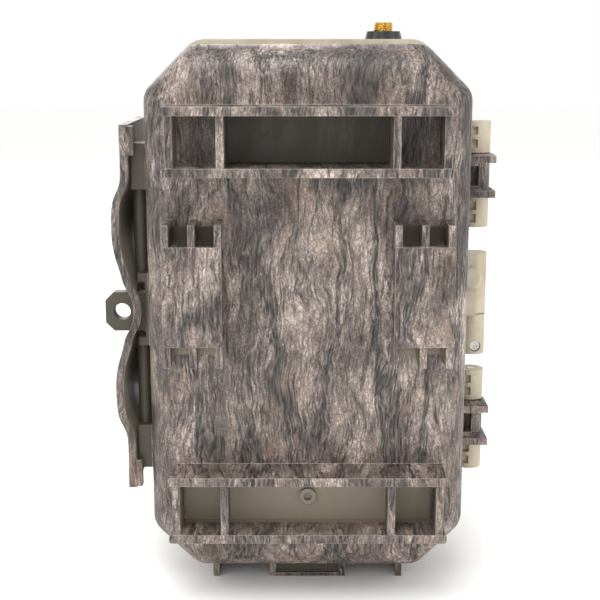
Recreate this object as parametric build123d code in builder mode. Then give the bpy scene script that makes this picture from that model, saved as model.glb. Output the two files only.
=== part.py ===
from build123d import *
import os

# Trail camera: a rear shell that straps to a tree and a front case that swings on two side hinges.
# Frame: +Z up, +Y towards the tree, +X the latch side; the origin is the tripod socket's mouth.

# ------------------------------------------------------------ driving dimensions (mm)
# Case
case_width = 96.0
case_height = 160.0
corner_leg = 13.7
corner_radius = 6.5
wall = 2.4
foot_height = 6.3
base_y = 18.0
rear_depth = 32.0
seam_gap = 0.3
frame_depth = 4.0
plate_thick = 2.0
front_depth = 29.7
rim_proud = 1.6
rim_width = 4.0
plate_step = 1.4
rear_edge_radius = 9.5
front_edge_radius = 7.0

# Values shared by many features
bond = 0.5
past = 1.0
moulding_round = 0.8
running_clearance = 0.06

# Flanges, ribs and recess on the tree side
flange_proud = 13.0
flange_thick = 2.6
flange_inset = 7.0
rib_thick = 2.2
rib_offset = 24.6
rib_setback = 0.6
pocket_wall_offset = 38.8
bracket_drop = 16.9
bracket_gap = 14.4
recess_depth = 6.0
trough_rise = 15.4
trough_gap = 15.1
ring_boss_radius = 2.6
ring_boss_hole = 1.2
ring_boss_proud = 1.2

# Strap bridges
bridge_inner = 24.5
bridge_width = 17.0
bridge_panel_height = 29.0
bridge_panel_thick = 2.6
bridge_leg_height = 6.2
bridge_leg_width = 2.0
bridge_leg_lap = 1.0
bridge_leg_setback = 0.4
bridge_centre_lift = 9.5

# Hinges
hinge_spacing = 80.0
knuckle_radius = 4.0
knuckle_stand_off = 1.5
hinge_flange_lip = 0.5
hinge_flange_thick = 2.2
hinge_flange_run = 8.0
hinge_arm_depth = 5.0
arm_window_inset = 0.4
arm_window_lap = 0.6
arm_window_margin = 1.2
centre_knuckle = 13.0
outer_knuckle = 9.8
knuckle_gap = 0.3
hinge_pin_radius = 1.5
pin_chamfer = 0.2
notch_margin = 0.5
notch_skin = 0.6
core_inset = 0.5
core_wall = 0.9
core_end = 1.6
core_web = 1.4

# Cable conduit on the hinge line
conduit_low = -18.0
conduit_split = -4.7
conduit_high = 15.0
conduit_bore = 2.2
conduit_cap = 2.0
conduit_plug = 5.4
conduit_arm_gap = 0.3
conduit_arm_depth = 4.4
conduit_boss_radius = 3.5
conduit_boss_height = 7.8
conduit_boss_shift = 2.0
conduit_boss_low = 4.0
conduit_boss_high = 7.0
conduit_boss_round = 1.2
conduit_screw_height = -15.4
conduit_screw_shift = 0.6
conduit_screw_radius = 1.6
conduit_screw_clearance = 0.15
conduit_screw_seat = 1.6
conduit_screw_head = 1.2
conduit_screw_length = 4.1
drive_slot_width = 0.5
drive_slot_length = 2.0
drive_slot_depth = 0.4

# Latch side: keeper blocks and bars, and the padlock eye
latch_lift = 1.0
keeper_offset = 2.5
keeper_radius = 2.1
keeper_y = 3.0
keeper_low = 8.5
keeper_lug = 2.7
keeper_lug_proud = 3.6
keeper_far = 36.6
keeper_end = 50.3
keeper_seat = 2.2
keeper_block_proud = 4.6
keeper_block_depth = 8.0
keeper_web_proud = 1.4
eye_reach = 8.7
eye_end = 5.1
eye_half_height = 6.0
eye_corner = 2.6
eye_hole = 2.55
eye_thick = 4.0
eye_y = 3.0

# Latch lever: how far it stands out from the case side at each height from its middle
lever_profile = [(0, 4.6), (4, 5.2), (8, 7.2), (12, 8.3), (16, 9.5), (20, 10.3), (25, 10.6), (30, 10.4),
                 (34, 9.7), (38, 7.9), (42, 7.4), (48, 7.4), (55.9, 7.4)]
lever_thick = 2.4
lever_rear_y = 10.0
lever_pin_y = -36.0
lever_pin_radius = 1.25
lever_knuckle_radius = 3.0
lever_knuckle_gap = 0.6
lever_knuckle_low = 21.0
lever_knuckle_high = 30.0
lever_front_margin = 2.0
lever_side_gap = 0.4
lever_lug_length = 3.6
lever_lap = 2.2
lever_hook_low = 47.0
lever_hook_high = 55.5
lever_hook_gap = 0.25
lever_hook_reach = 3.3
eye_window_front = 1.4
eye_window_rear = 2.0
eye_window_end = 1.2

# Standing foot and tripod socket
foot_half_width = 12.0
foot_rear_y = 6.0
foot_wall = 2.0
foot_inset_depth = 1.0
foot_lip = 1.2
fin_offset = 29.0
fin_thick = 2.0
front_foot_y = -40.0
insert_radius = 4.5
insert_length = 8.0
insert_chamfer = 0.3
tripod_radius = 2.55
tripod_depth = 7.2

# Gaskets
gasket_width = 1.4
gasket_groove = 1.2
front_gasket_depth = 1.0

# Main board, display and controls
board_gap = 3.7
board_thick = 1.6
board_side_gap = 8.0
board_end_gap = 14.0
board_round = 3.0
board_notch_inner = 4.0
board_notch_outer = 2.0
cover_screw_radius = 1.3
cover_screw_head_radius = 2.3
cover_screw_head = 1.4
cover_screw_length = 8.0
cover_screw_hole = 9.0
cover_screw_clearance = 0.3
cover_boss_radius = 3.2
corner_screw_inset = (12.0, 16.0)
side_screw_inset = 6.5
button_radius = 4.0
button_clearance = 0.3
button_travel = 0.6
button_proud = 1.2
button_round = 0.6
button_flange = 0.9
button_flange_thick = 0.7
button_flange_gap = 0.3
button_pitch = 13.0
button_centre = (4.0, 2.0)
menu_x = -25.0
tact_body = 6.0
tact_height = 1.2
tact_stem_radius = 1.6
tact_stem_gap = 0.15
display_width = 56.0
display_height = 42.0
display_thick = 2.8
display_centre = 42.0
window_width = 50.0
window_height = 36.0
window_round = 2.0
window_sink = 0.4
switch_x = 31.0
switch_z = 2.0
switch_travel = 4.0
switch_slot_width = 5.0
knob_width = 4.2
knob_height = 7.0
knob_proud = 1.4
knob_groove = 0.6
knob_groove_pitch = 2.0
knob_groove_depth = 0.4
switch_body_half_width = 4.0
switch_body_half_height = 10.0
switch_body_gap = 1.4

# Card slots, USB port and radio
sd_x = 26.0
sd_drop = 34.0
sd_width = 24.0
sd_length = 32.0
sd_thick = 2.1
sd_corner = 3.0
sd_sink = 0.6
sd_slot_lift = 10.0
sd_slot_height = 18.0
sd_socket_wall = 1.5
sd_socket_floor = 3.0
sd_socket_grip = 15.0
sd_clearance = 0.3
port_drop = 36.0
slot_height = 6.0
sim_x = -27.0
sim_width = 16.0
sim_low = 10.0
sim_high = 4.0
sim_wall = 1.5
sim_sink = 0.4
sim_mouth_low = 2.0
sim_mouth_high = 1.1
usb_slot_width = 12.0
usb_width = 9.0
usb_height = 3.2
usb_skin = 0.4
usb_sink = 0.6
usb_round = 1.5
radio_low = (-34.0, 12.0)
radio_high = (-16.0, 30.0)
radio_thick = 3.2

# LED window and LEDs
led_window_width = 62.0
led_window_height = 32.0
led_window_thick = 1.2
led_window_round = 5.0
led_window_ledge = 2.0
led_window_drop = 32.0
led_columns = 8
led_rows = 4
led_pitch = 7.0
led_radius = 1.5
led_length = 3.0
led_dome = 1.0
led_board_gap = 4.0
led_board_thick = 1.2
pad_proud = 1.0
pad_margin = 4.0
pad_round = 7.0

# Lens, shutter filter and camera module
lens_centre = 6.0
bezel_radius = 15.0
bezel_proud = 3.0
bezel_chamfer = 1.2
bezel_bore = 9.0
bezel_sleeve = 12.5
bezel_sleeve_depth = 2.0
glass_rear = 0.5
glass_front = 1.3
barrel_radius = 7.5
barrel_front_gap = 1.0
barrel_collar = 1.0
barrel_collar_low = 4.0
barrel_collar_high = 6.0
barrel_bore = 4.5
aperture_radius = 3.2
module_depth = 9.0
module_half_height = 9.0
module_skin = 1.6
filter_travel = 8.0
filter_half_length = 8.0
filter_half_height = 5.0
filter_half_thick = 0.6
filter_depth = 5.5
filter_slot_gap = 0.4
module_margin = 2.0
sensor_half = 2.9
sensor_depth = 2.5
sensor_thick = 1.1

# Motion sensor and the small windows either side of the lens
pir_centre = -38.0
pir_width = 40.0
pir_height = 26.0
pir_curve = 60.0
pir_proud = 2.0
pir_wall = 1.3
pir_depth = 12.0
pir_pad_round = 6.0
pir_can_radius = 4.1
pir_can_brim = 0.5
pir_can_height = 3.2
small_window_x = 26.0
small_window_radius = 2.6
small_window_rear = 1.5
small_window_proud = 0.3

# Antenna connector
antenna_x = -24.5
antenna_y = -34.0
antenna_thread_radius = 3.175
antenna_thread_length = 2.5
antenna_relief = 0.3
antenna_shank_radius = 2.95
antenna_shank_clearance = 0.1
antenna_shank_depth = 7.0
antenna_bore = 2.3
antenna_bore_depth = 4.0
antenna_pin_radius = 0.5
antenna_pin_sink = 0.8
antenna_pin_root = 0.5
antenna_nut_radius = 4.6
antenna_nut_thick = 2.2
antenna_nut_gap = 0.2
collar_low_radius = 6.6
collar_high_radius = 5.5
collar_height = 4.2

# Power jack and plug
dc_x = 20.0
dc_y = -31.0
dc_radius = 4.0
dc_hole = 2.8
dc_sink = 0.8
dc_length = 11.2
dc_hole_depth = 10.0
dc_pin_radius = 0.8
dc_pin_low = 6.5
dc_pin_high = 10.5
plug_cap = 1.5
plug_brim = 2.0
plug_gap = 0.1
plug_round = 0.8
plug_length = 5.0
plug_clearance = 0.3

# Battery tray and cells
cell_radius = 7.1
cell_spacing = 0.8
cell_length = 49.2
cells_per_row = 4
nub_radius = 2.7
nub_length = 1.2
cell_clearance = 0.3
tray_floor = 1.4
tray_side = 3.0
tray_end = 1.4
tray_lip = 2.0
row_gap = 4.8
tray_rise = 9.8
spring_foot_radius = 3.6
spring_tip_radius = 2.4
contact_half_width = 4.0
contact_low = 1.5
contact_high = 3.0
contact_thick = 0.5
tray_screw_radius = 1.3
tray_screw_head = 1.3

# ------------------------------------------------------------ levels and places from them
leg_growth = 2 - 2 ** 0.5
case_bottom = foot_height
case_mid = case_bottom + case_height / 2
case_top = case_bottom + case_height
latch_mid = case_mid + latch_lift
half_width = case_width / 2
seam_y = base_y - rear_depth
frame_rear_y = seam_y - seam_gap
frame_front_y = frame_rear_y - frame_depth
plate_rear_y = frame_front_y + plate_thick
face_y = frame_front_y - front_depth
pad_y = face_y - pad_proud
inner_face_y = face_y + wall
flange_tip_y = base_y + flange_proud
flange_half = half_width - flange_inset
root_y = base_y - wall / 2
side_root = half_width - wall / 2
hinge_x = -(half_width + knuckle_radius + knuckle_stand_off)
hinge_y = frame_rear_y - frame_depth / 2
hinge_flange_radius = knuckle_radius + hinge_flange_lip
pin_x = half_width + lever_knuckle_radius + lever_knuckle_gap
board_rear_y = frame_front_y - board_gap
board_front_y = board_rear_y - board_thick

os.makedirs("parts", exist_ok=True)


# ------------------------------------------------------------ small helpers
def facing(y):
    """A drawing plane across the case at depth y, centred on the case, that extrudes forwards."""
    return Plane(origin=(0, y, case_mid), x_dir=(1, 0, 0), z_dir=(0, -1, 0))


def case_outline(grow):
    """The case's octagonal outline, offset outwards by grow, in the active sketch."""
    Rectangle(case_width + 2 * grow, case_height + 2 * grow)
    chamfer(vertices(), corner_leg + grow * leg_growth)
    fillet(vertices(), corner_radius + grow)


def slab(low, high, mode=Mode.ADD):
    """A block between two opposite corners in the active part."""
    size = [b - a for a, b in zip(low, high)]
    middle = [(a + b) / 2 for a, b in zip(low, high)]
    with Locations(tuple(middle)):
        Box(*size, mode=mode)


def upright(x, y, low, high, radius, mode=Mode.ADD):
    """A vertical round bar from height low to height high in the active part."""
    with Locations((x, y, (low + high) / 2)):
        Cylinder(radius, high - low, mode=mode)


def across(x, z, rear, front, radius, mode=Mode.ADD):
    """A round bar along Y from depth rear forwards to depth front in the active part."""
    with Locations((x, (rear + front) / 2, z)):
        Cylinder(radius, rear - front, rotation=(90, 0, 0), mode=mode)


def rounded_bar(x, z, width, height, rear, front, radius, mode=Mode.ADD):
    """A bar along Y with a rounded rectangular section in the active part."""
    with BuildSketch(facing(rear)) as section:
        with Locations((x, z - case_mid)):
            RectangleRounded(width, height, radius)
    extrude(section.sketch, amount=rear - front, mode=mode)


def outline_ring(outer, inner, rear, front, mode=Mode.ADD):
    """A ring that follows the case outline between two offsets in the active part."""
    with BuildSketch(facing(rear)) as section:
        case_outline(outer)
        with BuildSketch(facing(rear), mode=Mode.SUBTRACT):
            case_outline(inner)
    extrude(section.sketch, amount=rear - front, mode=mode)


def mirrored_span(side, near, far):
    """Low and high heights of a span set out from the latch's middle, upwards or downwards."""
    return sorted((latch_mid + side * near, latch_mid + side * far))


def save(piece, label):
    """Label a finished piece and write it to its own file."""
    piece.label = label
    export_step(piece, "parts/" + label + ".step")


# ------------------------------------------------------------ rear shell
bracket_top = case_top - bracket_drop
bracket_low = bracket_top - flange_thick - bracket_gap
trough_low = case_bottom + trough_rise
trough_top = trough_low + flange_thick + trough_gap
flange_heights = [bracket_top, bracket_low, trough_top + flange_thick, trough_low + flange_thick]
bridge_mid = case_mid + bridge_centre_lift
hinge_heights = [case_mid - hinge_spacing / 2, case_mid + hinge_spacing / 2]
keeper_x = half_width + keeper_offset
eye_x = half_width + eye_reach

with BuildPart() as rear_shell:
    with BuildSketch(facing(base_y)):
        case_outline(0)
    extrude(amount=rear_depth)
    fillet(faces().sort_by(Axis.Y)[-1].edges(), rear_edge_radius)
    offset(amount=-wall, openings=faces().sort_by(Axis.Y)[0])

    # Centre recess between the upper bracket's ribs, walled on the inside.
    recess_top = bracket_top - flange_thick
    recess_low = recess_top - bracket_gap
    recess_half = rib_offset - rib_thick / 2
    recess_y = base_y - recess_depth
    slab((-recess_half - wall, recess_y - wall, recess_low - wall),
         (recess_half + wall, root_y, recess_top + wall))
    slab((-recess_half, recess_y, recess_low), (recess_half, base_y + past, recess_top), mode=Mode.SUBTRACT)

    # Four level flanges that bear on the trunk.
    for top in flange_heights:
        rounded_bar(0, top - flange_thick / 2, 2 * flange_half, flange_thick,
                    flange_tip_y, root_y, moulding_round)

    # Upright ribs and end walls that tie each pair of flanges together.
    for low, gap in ((bracket_low, bracket_gap), (trough_low + flange_thick, trough_gap)):
        for middle in (-pocket_wall_offset, -rib_offset, rib_offset, pocket_wall_offset):
            slab((middle - rib_thick / 2, root_y, low - bond),
                 (middle + rib_thick / 2, flange_tip_y - rib_setback, low + gap + bond))

    # Small moulded ring in the middle of the trough.
    ring_z = trough_low + flange_thick + trough_gap / 2
    across(0, ring_z, base_y + ring_boss_proud, root_y, ring_boss_radius)
    across(0, ring_z, base_y + ring_boss_proud + past, base_y, ring_boss_hole, mode=Mode.SUBTRACT)

    # Two strap bridges: a raised panel on three legs above and three below.
    for side in (-1, 1):
        centre = side * (bridge_inner + bridge_width / 2)
        rounded_bar(centre, bridge_mid, bridge_width, bridge_panel_height,
                    flange_tip_y, flange_tip_y - bridge_panel_thick, moulding_round)
        leg_span = bridge_width - bridge_leg_width
        for leg in (-leg_span / 2, 0, leg_span / 2):
            for end in (-1, 1):
                near = bridge_mid + end * (bridge_panel_height / 2 - bridge_leg_lap)
                far = bridge_mid + end * (bridge_panel_height / 2 + bridge_leg_height)
                slab((centre + leg - bridge_leg_width / 2, root_y, min(near, far)),
                     (centre + leg + bridge_leg_width / 2, flange_tip_y - bridge_leg_setback, max(near, far)))

    # Centre hinge knuckles with a flange at each end and an arm to the shell's side.
    arm_y = seam_y + hinge_arm_depth
    flange_y = seam_y + hinge_flange_run
    for height in hinge_heights:
        low = height - centre_knuckle / 2
        high = height + centre_knuckle / 2
        slab((hinge_x, seam_y, low), (-side_root, arm_y, high))
        slab((hinge_x, hinge_y, low), (-half_width - rim_proud, arm_y, high))
        upright(hinge_x, hinge_y, low, high, knuckle_radius)
        for end in (low, high - hinge_flange_thick):
            top = end + hinge_flange_thick
            upright(hinge_x, hinge_y, end, top, hinge_flange_radius)
            slab((hinge_x - hinge_flange_radius, hinge_y, end), (-half_width - rim_proud, flange_y, top))
            slab((-half_width - rim_proud - bond, seam_y, end), (-side_root, flange_y, top))
        window_end = hinge_flange_thick + arm_window_margin
        slab((hinge_x + arm_window_inset, hinge_y + knuckle_radius - arm_window_lap, low + window_end),
             (-half_width - arm_window_margin, arm_y + past, high - window_end), mode=Mode.SUBTRACT)
        upright(hinge_x, hinge_y, low - past, high + past, hinge_pin_radius, mode=Mode.SUBTRACT)

    # Latch side: keeper blocks, the web between them, and the bores for the keeper bars.
    block_rear_y = keeper_y + keeper_block_depth / 2
    block_front_y = keeper_y - keeper_block_depth / 2
    bar_near = keeper_low + keeper_lug - keeper_seat
    bar_far = keeper_far + keeper_seat
    for side in (-1, 1):
        for near, far, proud in ((keeper_low, keeper_low + keeper_lug, keeper_lug_proud),
                                 (keeper_far, keeper_end, keeper_block_proud),
                                 (0, keeper_low, keeper_web_proud)):
            low, high = mirrored_span(side, near, far)
            slab((side_root, block_front_y, low), (half_width + proud, block_rear_y, high))
        low, high = mirrored_span(side, bar_near, bar_far)
        upright(keeper_x, keeper_y, low, high, keeper_radius, mode=Mode.SUBTRACT)

    # Padlock eye: a plate with cut corners that comes out through the lever.
    eye_rear_y = eye_y + eye_thick / 2
    eye_front_y = eye_y - eye_thick / 2
    eye_tip_x = eye_x + eye_end
    slab((side_root, eye_front_y, case_mid - eye_half_height),
         (eye_tip_x, eye_rear_y, case_mid + eye_half_height))
    chamfer(edges().filter_by(Axis.Y).sort_by(Axis.X)[-2:], eye_corner)
    across(eye_x, case_mid, eye_rear_y + past, eye_front_y - past, eye_hole, mode=Mode.SUBTRACT)

    # Standing foot with the tripod socket, and a fin each side of it.
    foot_root = case_bottom + wall / 2
    foot_panel = foot_half_width - foot_wall
    slab((-foot_half_width, seam_y, 0), (foot_half_width, foot_rear_y, foot_root))
    slab((-foot_panel, foot_rear_y - foot_inset_depth, foot_lip), (foot_panel, foot_rear_y + past, case_bottom),
         mode=Mode.SUBTRACT)
    for middle in (-fin_offset, fin_offset):
        slab((middle - fin_thick / 2, seam_y, 0), (middle + fin_thick / 2, foot_rear_y, foot_root))
    upright(0, 0, -past, insert_length, insert_radius, mode=Mode.SUBTRACT)
save(rear_shell.part, "rear_shell")

# ------------------------------------------------------------ tripod insert
with BuildPart() as tripod_insert:
    upright(0, 0, 0, insert_length, insert_radius)
    upright(0, 0, -past, tripod_depth, tripod_radius, mode=Mode.SUBTRACT)
    chamfer(edges().filter_by(GeomType.CIRCLE).sort_by(Axis.Z)[0], insert_chamfer)
save(tripod_insert.part, "tripod_insert")

# ------------------------------------------------------------ hinge pins
hinge_reach = centre_knuckle / 2 + knuckle_gap + outer_knuckle
for label, height in (("hinge_pin_lower", hinge_heights[0]), ("hinge_pin_upper", hinge_heights[1])):
    with BuildPart() as hinge_pin:
        upright(hinge_x, hinge_y, height - hinge_reach, height + hinge_reach, hinge_pin_radius)
        chamfer(edges().filter_by(GeomType.CIRCLE), pin_chamfer)
    save(hinge_pin.part, label)

# ------------------------------------------------------------ keeper bars
with BuildPart() as keeper_bars:
    for side in (-1, 1):
        low, high = mirrored_span(side, bar_near, bar_far)
        upright(keeper_x, keeper_y, low, high, keeper_radius)
save(keeper_bars.part, "keeper_bars")

# ------------------------------------------------------------ mid frame
knuckle_notch = centre_knuckle / 2 + notch_margin
notches = [(height - knuckle_notch, height + knuckle_notch) for height in hinge_heights]
conduit_ends = (case_mid + conduit_low, case_mid + conduit_high)
notches.append((conduit_ends[0] - notch_margin, conduit_ends[1] + notch_margin))
button_row = case_mid + button_centre[1]
button_places = {
    "button_up": (button_centre[0], button_row + button_pitch),
    "button_down": (button_centre[0], button_row - button_pitch),
    "button_left": (button_centre[0] + button_pitch, button_row),
    "button_right": (button_centre[0] - button_pitch, button_row),
    "button_ok": (button_centre[0], button_row),
    "button_menu": (menu_x, button_row),
}
gasket_outer = -wall / 2 + gasket_width / 2
gasket_inner = -wall / 2 - gasket_width / 2
switch_mid = case_mid + switch_z
switch_slot_height = 2 * switch_travel + knob_height + past
sd_z = case_mid - sd_drop
port_z = case_mid - port_drop
core_skin_x = -half_width - rim_proud - notch_skin

with BuildPart() as mid_frame:
    outline_ring(rim_proud, rim_proud - rim_width - plate_step, frame_rear_y, plate_rear_y)
    with BuildSketch(facing(plate_rear_y)):
        case_outline(rim_proud)
    extrude(amount=plate_thick)

    # Groove for the case gasket.
    outline_ring(gasket_outer, gasket_inner, frame_rear_y, frame_rear_y - gasket_groove, mode=Mode.SUBTRACT)

    # Room for the rear shell's knuckles and for the cable conduit.
    for low, high in notches:
        slab((hinge_x - 2 * knuckle_radius, frame_front_y - past, low),
             (-half_width - notch_skin, seam_y + past, high), mode=Mode.SUBTRACT)

    # Two outer knuckles at each hinge, cored out from behind.
    core_y = hinge_y + hinge_pin_radius + core_wall
    for height in hinge_heights:
        for side in (-1, 1):
            near = height + side * (centre_knuckle / 2 + knuckle_gap)
            low, high = sorted((near, near + side * outer_knuckle))
            middle = (low + high) / 2
            upright(hinge_x, hinge_y, low, high, knuckle_radius)
            slab((hinge_x, frame_front_y, low), (-half_width, frame_rear_y, high))
            cores = ((low + core_end, middle - core_web / 2), (middle + core_web / 2, high - core_end))
            for start, end in cores:
                slab((hinge_x + core_inset, core_y, start), (core_skin_x, hinge_y + 2 * knuckle_radius, end),
                     mode=Mode.SUBTRACT)
            upright(hinge_x, hinge_y, low - past, high + past, hinge_pin_radius + running_clearance,
                    mode=Mode.SUBTRACT)

    # Openings in the plate for the display, the controls and the card slots.
    through_y = frame_front_y - past
    rounded_bar(0, case_mid + display_centre, window_width, window_height,
                frame_rear_y, through_y, window_round, mode=Mode.SUBTRACT)
    for x, z in button_places.values():
        across(x, z, frame_rear_y, through_y, button_radius + button_clearance, mode=Mode.SUBTRACT)
    for x, z, width, height in ((switch_x, switch_mid, switch_slot_width, switch_slot_height),
                                (sd_x, sd_z + sd_slot_lift, sd_width + 2 * past, sd_slot_height),
                                (sim_x, port_z, sim_width, slot_height),
                                (0, port_z, usb_slot_width, slot_height)):
        rounded_bar(x, z, width, height, frame_rear_y, through_y, moulding_round, mode=Mode.SUBTRACT)
save(mid_frame.part, "mid_frame")

# ------------------------------------------------------------ gaskets
with BuildPart() as case_gasket:
    outline_ring(gasket_outer, gasket_inner, seam_y, frame_rear_y - gasket_groove)
save(case_gasket.part, "case_gasket")

with BuildPart() as front_gasket:
    outline_ring(gasket_outer, gasket_inner, frame_front_y, frame_front_y - front_gasket_depth)
save(front_gasket.part, "front_gasket")

# ------------------------------------------------------------ cable conduit across the hinge line
with BuildPart() as conduit_upper:
    low = case_mid + conduit_split + knuckle_gap / 2
    high = conduit_ends[1]
    arm_low_y = seam_y + conduit_arm_gap
    upright(hinge_x, hinge_y, low, high, knuckle_radius)
    slab((hinge_x, arm_low_y, low), (-half_width, arm_low_y + conduit_arm_depth, high))
    across(hinge_x + conduit_boss_shift, case_mid + conduit_boss_height,
           seam_y + conduit_boss_high, seam_y + conduit_boss_low, conduit_boss_radius)
    fillet(faces().filter_by(Axis.Y).sort_by(Axis.Y)[-1].edges(), conduit_boss_round)
    upright(hinge_x, hinge_y, low - past, high - conduit_cap, conduit_bore, mode=Mode.SUBTRACT)
save(conduit_upper.part, "conduit_upper")

screw_x = hinge_x - conduit_screw_shift
screw_z = case_mid + conduit_screw_height
screw_seat_y = hinge_y + conduit_screw_seat
screw_tip_y = screw_seat_y - conduit_screw_length
with BuildPart() as conduit_lower:
    high = case_mid + conduit_split - knuckle_gap / 2
    upright(hinge_x, hinge_y, conduit_ends[0], high, knuckle_radius)
    slab((hinge_x, frame_front_y, conduit_ends[0]), (-half_width - notch_skin, frame_rear_y, high))
    upright(hinge_x, hinge_y, conduit_ends[0] + conduit_plug, high + past, conduit_bore, mode=Mode.SUBTRACT)
    across(screw_x, screw_z, hinge_y + knuckle_radius + past, screw_seat_y,
           conduit_screw_radius + conduit_screw_clearance, mode=Mode.SUBTRACT)
    across(screw_x, screw_z, screw_seat_y + past, screw_tip_y, conduit_screw_radius / 2, mode=Mode.SUBTRACT)
save(conduit_lower.part, "conduit_lower")

with BuildPart() as conduit_screw:
    head_y = screw_seat_y + conduit_screw_head
    across(screw_x, screw_z, head_y, screw_seat_y, conduit_screw_radius)
    across(screw_x, screw_z, screw_seat_y, screw_tip_y, conduit_screw_radius / 2)
    for width, height in ((drive_slot_length, drive_slot_width), (drive_slot_width, drive_slot_length)):
        slab((screw_x - width / 2, head_y - drive_slot_depth, screw_z - height / 2),
             (screw_x + width / 2, head_y + past, screw_z + height / 2), mode=Mode.SUBTRACT)
save(conduit_screw.part, "conduit_screw")

# ------------------------------------------------------------ front cover
led_z = case_top - led_window_drop
lens_z = case_mid + lens_centre
pir_z = case_mid + pir_centre
screw_places = [(side * (half_width - corner_screw_inset[0]),
                 case_mid + end * (case_height / 2 - corner_screw_inset[1]))
                for side in (-1, 1) for end in (-1, 1)]
side_screws = [(side * (half_width - side_screw_inset), case_mid) for side in (-1, 1)]
pad_root_y = inner_face_y - wall / 2
lug_near = lever_knuckle_low - lever_side_gap - lever_lug_length
lug_far = lever_knuckle_high + lever_side_gap

with BuildPart() as front_cover:
    with BuildSketch(facing(frame_front_y)):
        case_outline(0)
    extrude(amount=front_depth)
    fillet(faces().sort_by(Axis.Y)[0].edges(), front_edge_radius)
    offset(amount=-wall, openings=faces().sort_by(Axis.Y)[-1])

    # Screw bosses that the mid frame's screws bite into.
    for x, z in screw_places + side_screws:
        across(x, z, board_front_y - past, pad_root_y, cover_boss_radius)
        across(x, z, board_front_y, board_front_y - cover_screw_hole, cover_screw_radius, mode=Mode.SUBTRACT)

    # Pads raised on the face for the LED window, the motion sensor and the lens.
    rounded_bar(0, led_z, led_window_width + 2 * pad_margin, led_window_height + 2 * pad_margin,
                pad_root_y, pad_y, pad_round)
    rounded_bar(0, pir_z, pir_width + 2 * pad_margin, pir_height + 2 * pad_margin,
                pad_root_y, pad_y, pir_pad_round)
    across(0, lens_z, pad_root_y, pad_y, bezel_radius + pad_margin)

    # Openings: LED window with a seat, lens sleeve, sensor lens, two small windows.
    rounded_bar(0, led_z, led_window_width, led_window_height,
                pad_y + led_window_thick, pad_y - past, led_window_round, mode=Mode.SUBTRACT)
    rounded_bar(0, led_z, led_window_width - 2 * led_window_ledge, led_window_height - 2 * led_window_ledge,
                inner_face_y + past, pad_y, led_window_round - past, mode=Mode.SUBTRACT)
    across(0, lens_z, inner_face_y + past, pad_y - past, bezel_sleeve, mode=Mode.SUBTRACT)
    slab((-pir_width / 2, pad_y - past, pir_z - pir_height / 2),
         (pir_width / 2, inner_face_y + past, pir_z + pir_height / 2), mode=Mode.SUBTRACT)
    for side in (-1, 1):
        across(side * small_window_x, lens_z, inner_face_y + past, face_y - past, small_window_radius,
               mode=Mode.SUBTRACT)

    # Lugs for the latch lever's pins.
    for side in (-1, 1):
        for near in (lug_near, lug_far):
            low, high = mirrored_span(side, near, near + lever_lug_length)
            upright(pin_x, lever_pin_y, low, high, lever_knuckle_radius)
            slab((side_root, lever_pin_y - lever_knuckle_radius, low),
                 (pin_x, lever_pin_y + lever_knuckle_radius, high))
            upright(pin_x, lever_pin_y, low - past, high + past, lever_pin_radius, mode=Mode.SUBTRACT)

    # Front foot and fins that level the camera with the rear ones.
    slab((-foot_half_width, front_foot_y, 0), (foot_half_width, frame_front_y, foot_root))
    slab((-foot_panel, front_foot_y + foot_wall, -past),
         (foot_panel, frame_front_y - foot_wall, case_bottom - past), mode=Mode.SUBTRACT)
    for middle in (-fin_offset, fin_offset):
        slab((middle - fin_thick / 2, front_foot_y, 0), (middle + fin_thick / 2, frame_front_y, foot_root))

    # Holes for the antenna connector and the power jack.
    upright(antenna_x, antenna_y, case_top - wall - past, case_top + past,
            antenna_shank_radius + antenna_shank_clearance, mode=Mode.SUBTRACT)
    upright(dc_x, dc_y, case_bottom - past, case_bottom + wall + past, dc_radius, mode=Mode.SUBTRACT)

    # Groove in the edge for the front gasket.
    outline_ring(gasket_outer, gasket_inner, frame_front_y, frame_front_y - front_gasket_depth,
                 mode=Mode.SUBTRACT)
save(front_cover.part, "front_cover")

# ------------------------------------------------------------ latch lever
outer_points = [(half_width + out, latch_lift - rise) for rise, out in reversed(lever_profile)]
outer_points += [(half_width + out, latch_lift + rise) for rise, out in lever_profile[1:]]
lever_front_y = lever_pin_y - lever_front_margin
hook_y = block_rear_y + lever_hook_gap
hook_root_x = half_width + lever_profile[-1][1] - lever_thick / 2
lever_inside_x = half_width + max(out for rise, out in lever_profile) - lever_lap

with BuildPart() as latch_lever:
    with BuildSketch(facing(lever_rear_y)):
        with BuildLine():
            outer = Spline(*outer_points)
            inner = Spline(*[(x - lever_thick, z) for x, z in outer_points])
            Line(outer @ 0, inner @ 0)
            Line(outer @ 1, inner @ 1)
        make_face()
    extrude(amount=lever_rear_y - lever_front_y)

    # Window that the padlock eye comes through.
    window_half = eye_half_height + eye_window_end
    slab((half_width, eye_front_y - eye_window_front, case_mid - window_half),
         (eye_tip_x, eye_rear_y + eye_window_rear, case_mid + window_half), mode=Mode.SUBTRACT)

    for side in (-1, 1):
        # Hook behind the keeper block, at the lever's end.
        low, high = mirrored_span(side, lever_hook_low, lever_hook_high)
        slab((half_width + lever_hook_reach, hook_y, low), (hook_root_x, lever_rear_y, high))
        # Knuckle on the pin, with its arm out to the bulge.
        low, high = mirrored_span(side, lever_knuckle_low, lever_knuckle_high)
        upright(pin_x, lever_pin_y, low, high, lever_knuckle_radius)
        slab((pin_x, lever_front_y, low), (lever_inside_x, lever_pin_y + lever_knuckle_radius, high))
        upright(pin_x, lever_pin_y, low - past, high + past, lever_pin_radius + running_clearance,
                mode=Mode.SUBTRACT)
save(latch_lever.part, "latch_lever")

with BuildPart() as latch_pins:
    for side in (-1, 1):
        low, high = mirrored_span(side, lug_near, lug_far + lever_lug_length)
        upright(pin_x, lever_pin_y, low, high, lever_pin_radius)
save(latch_pins.part, "latch_pins")

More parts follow.
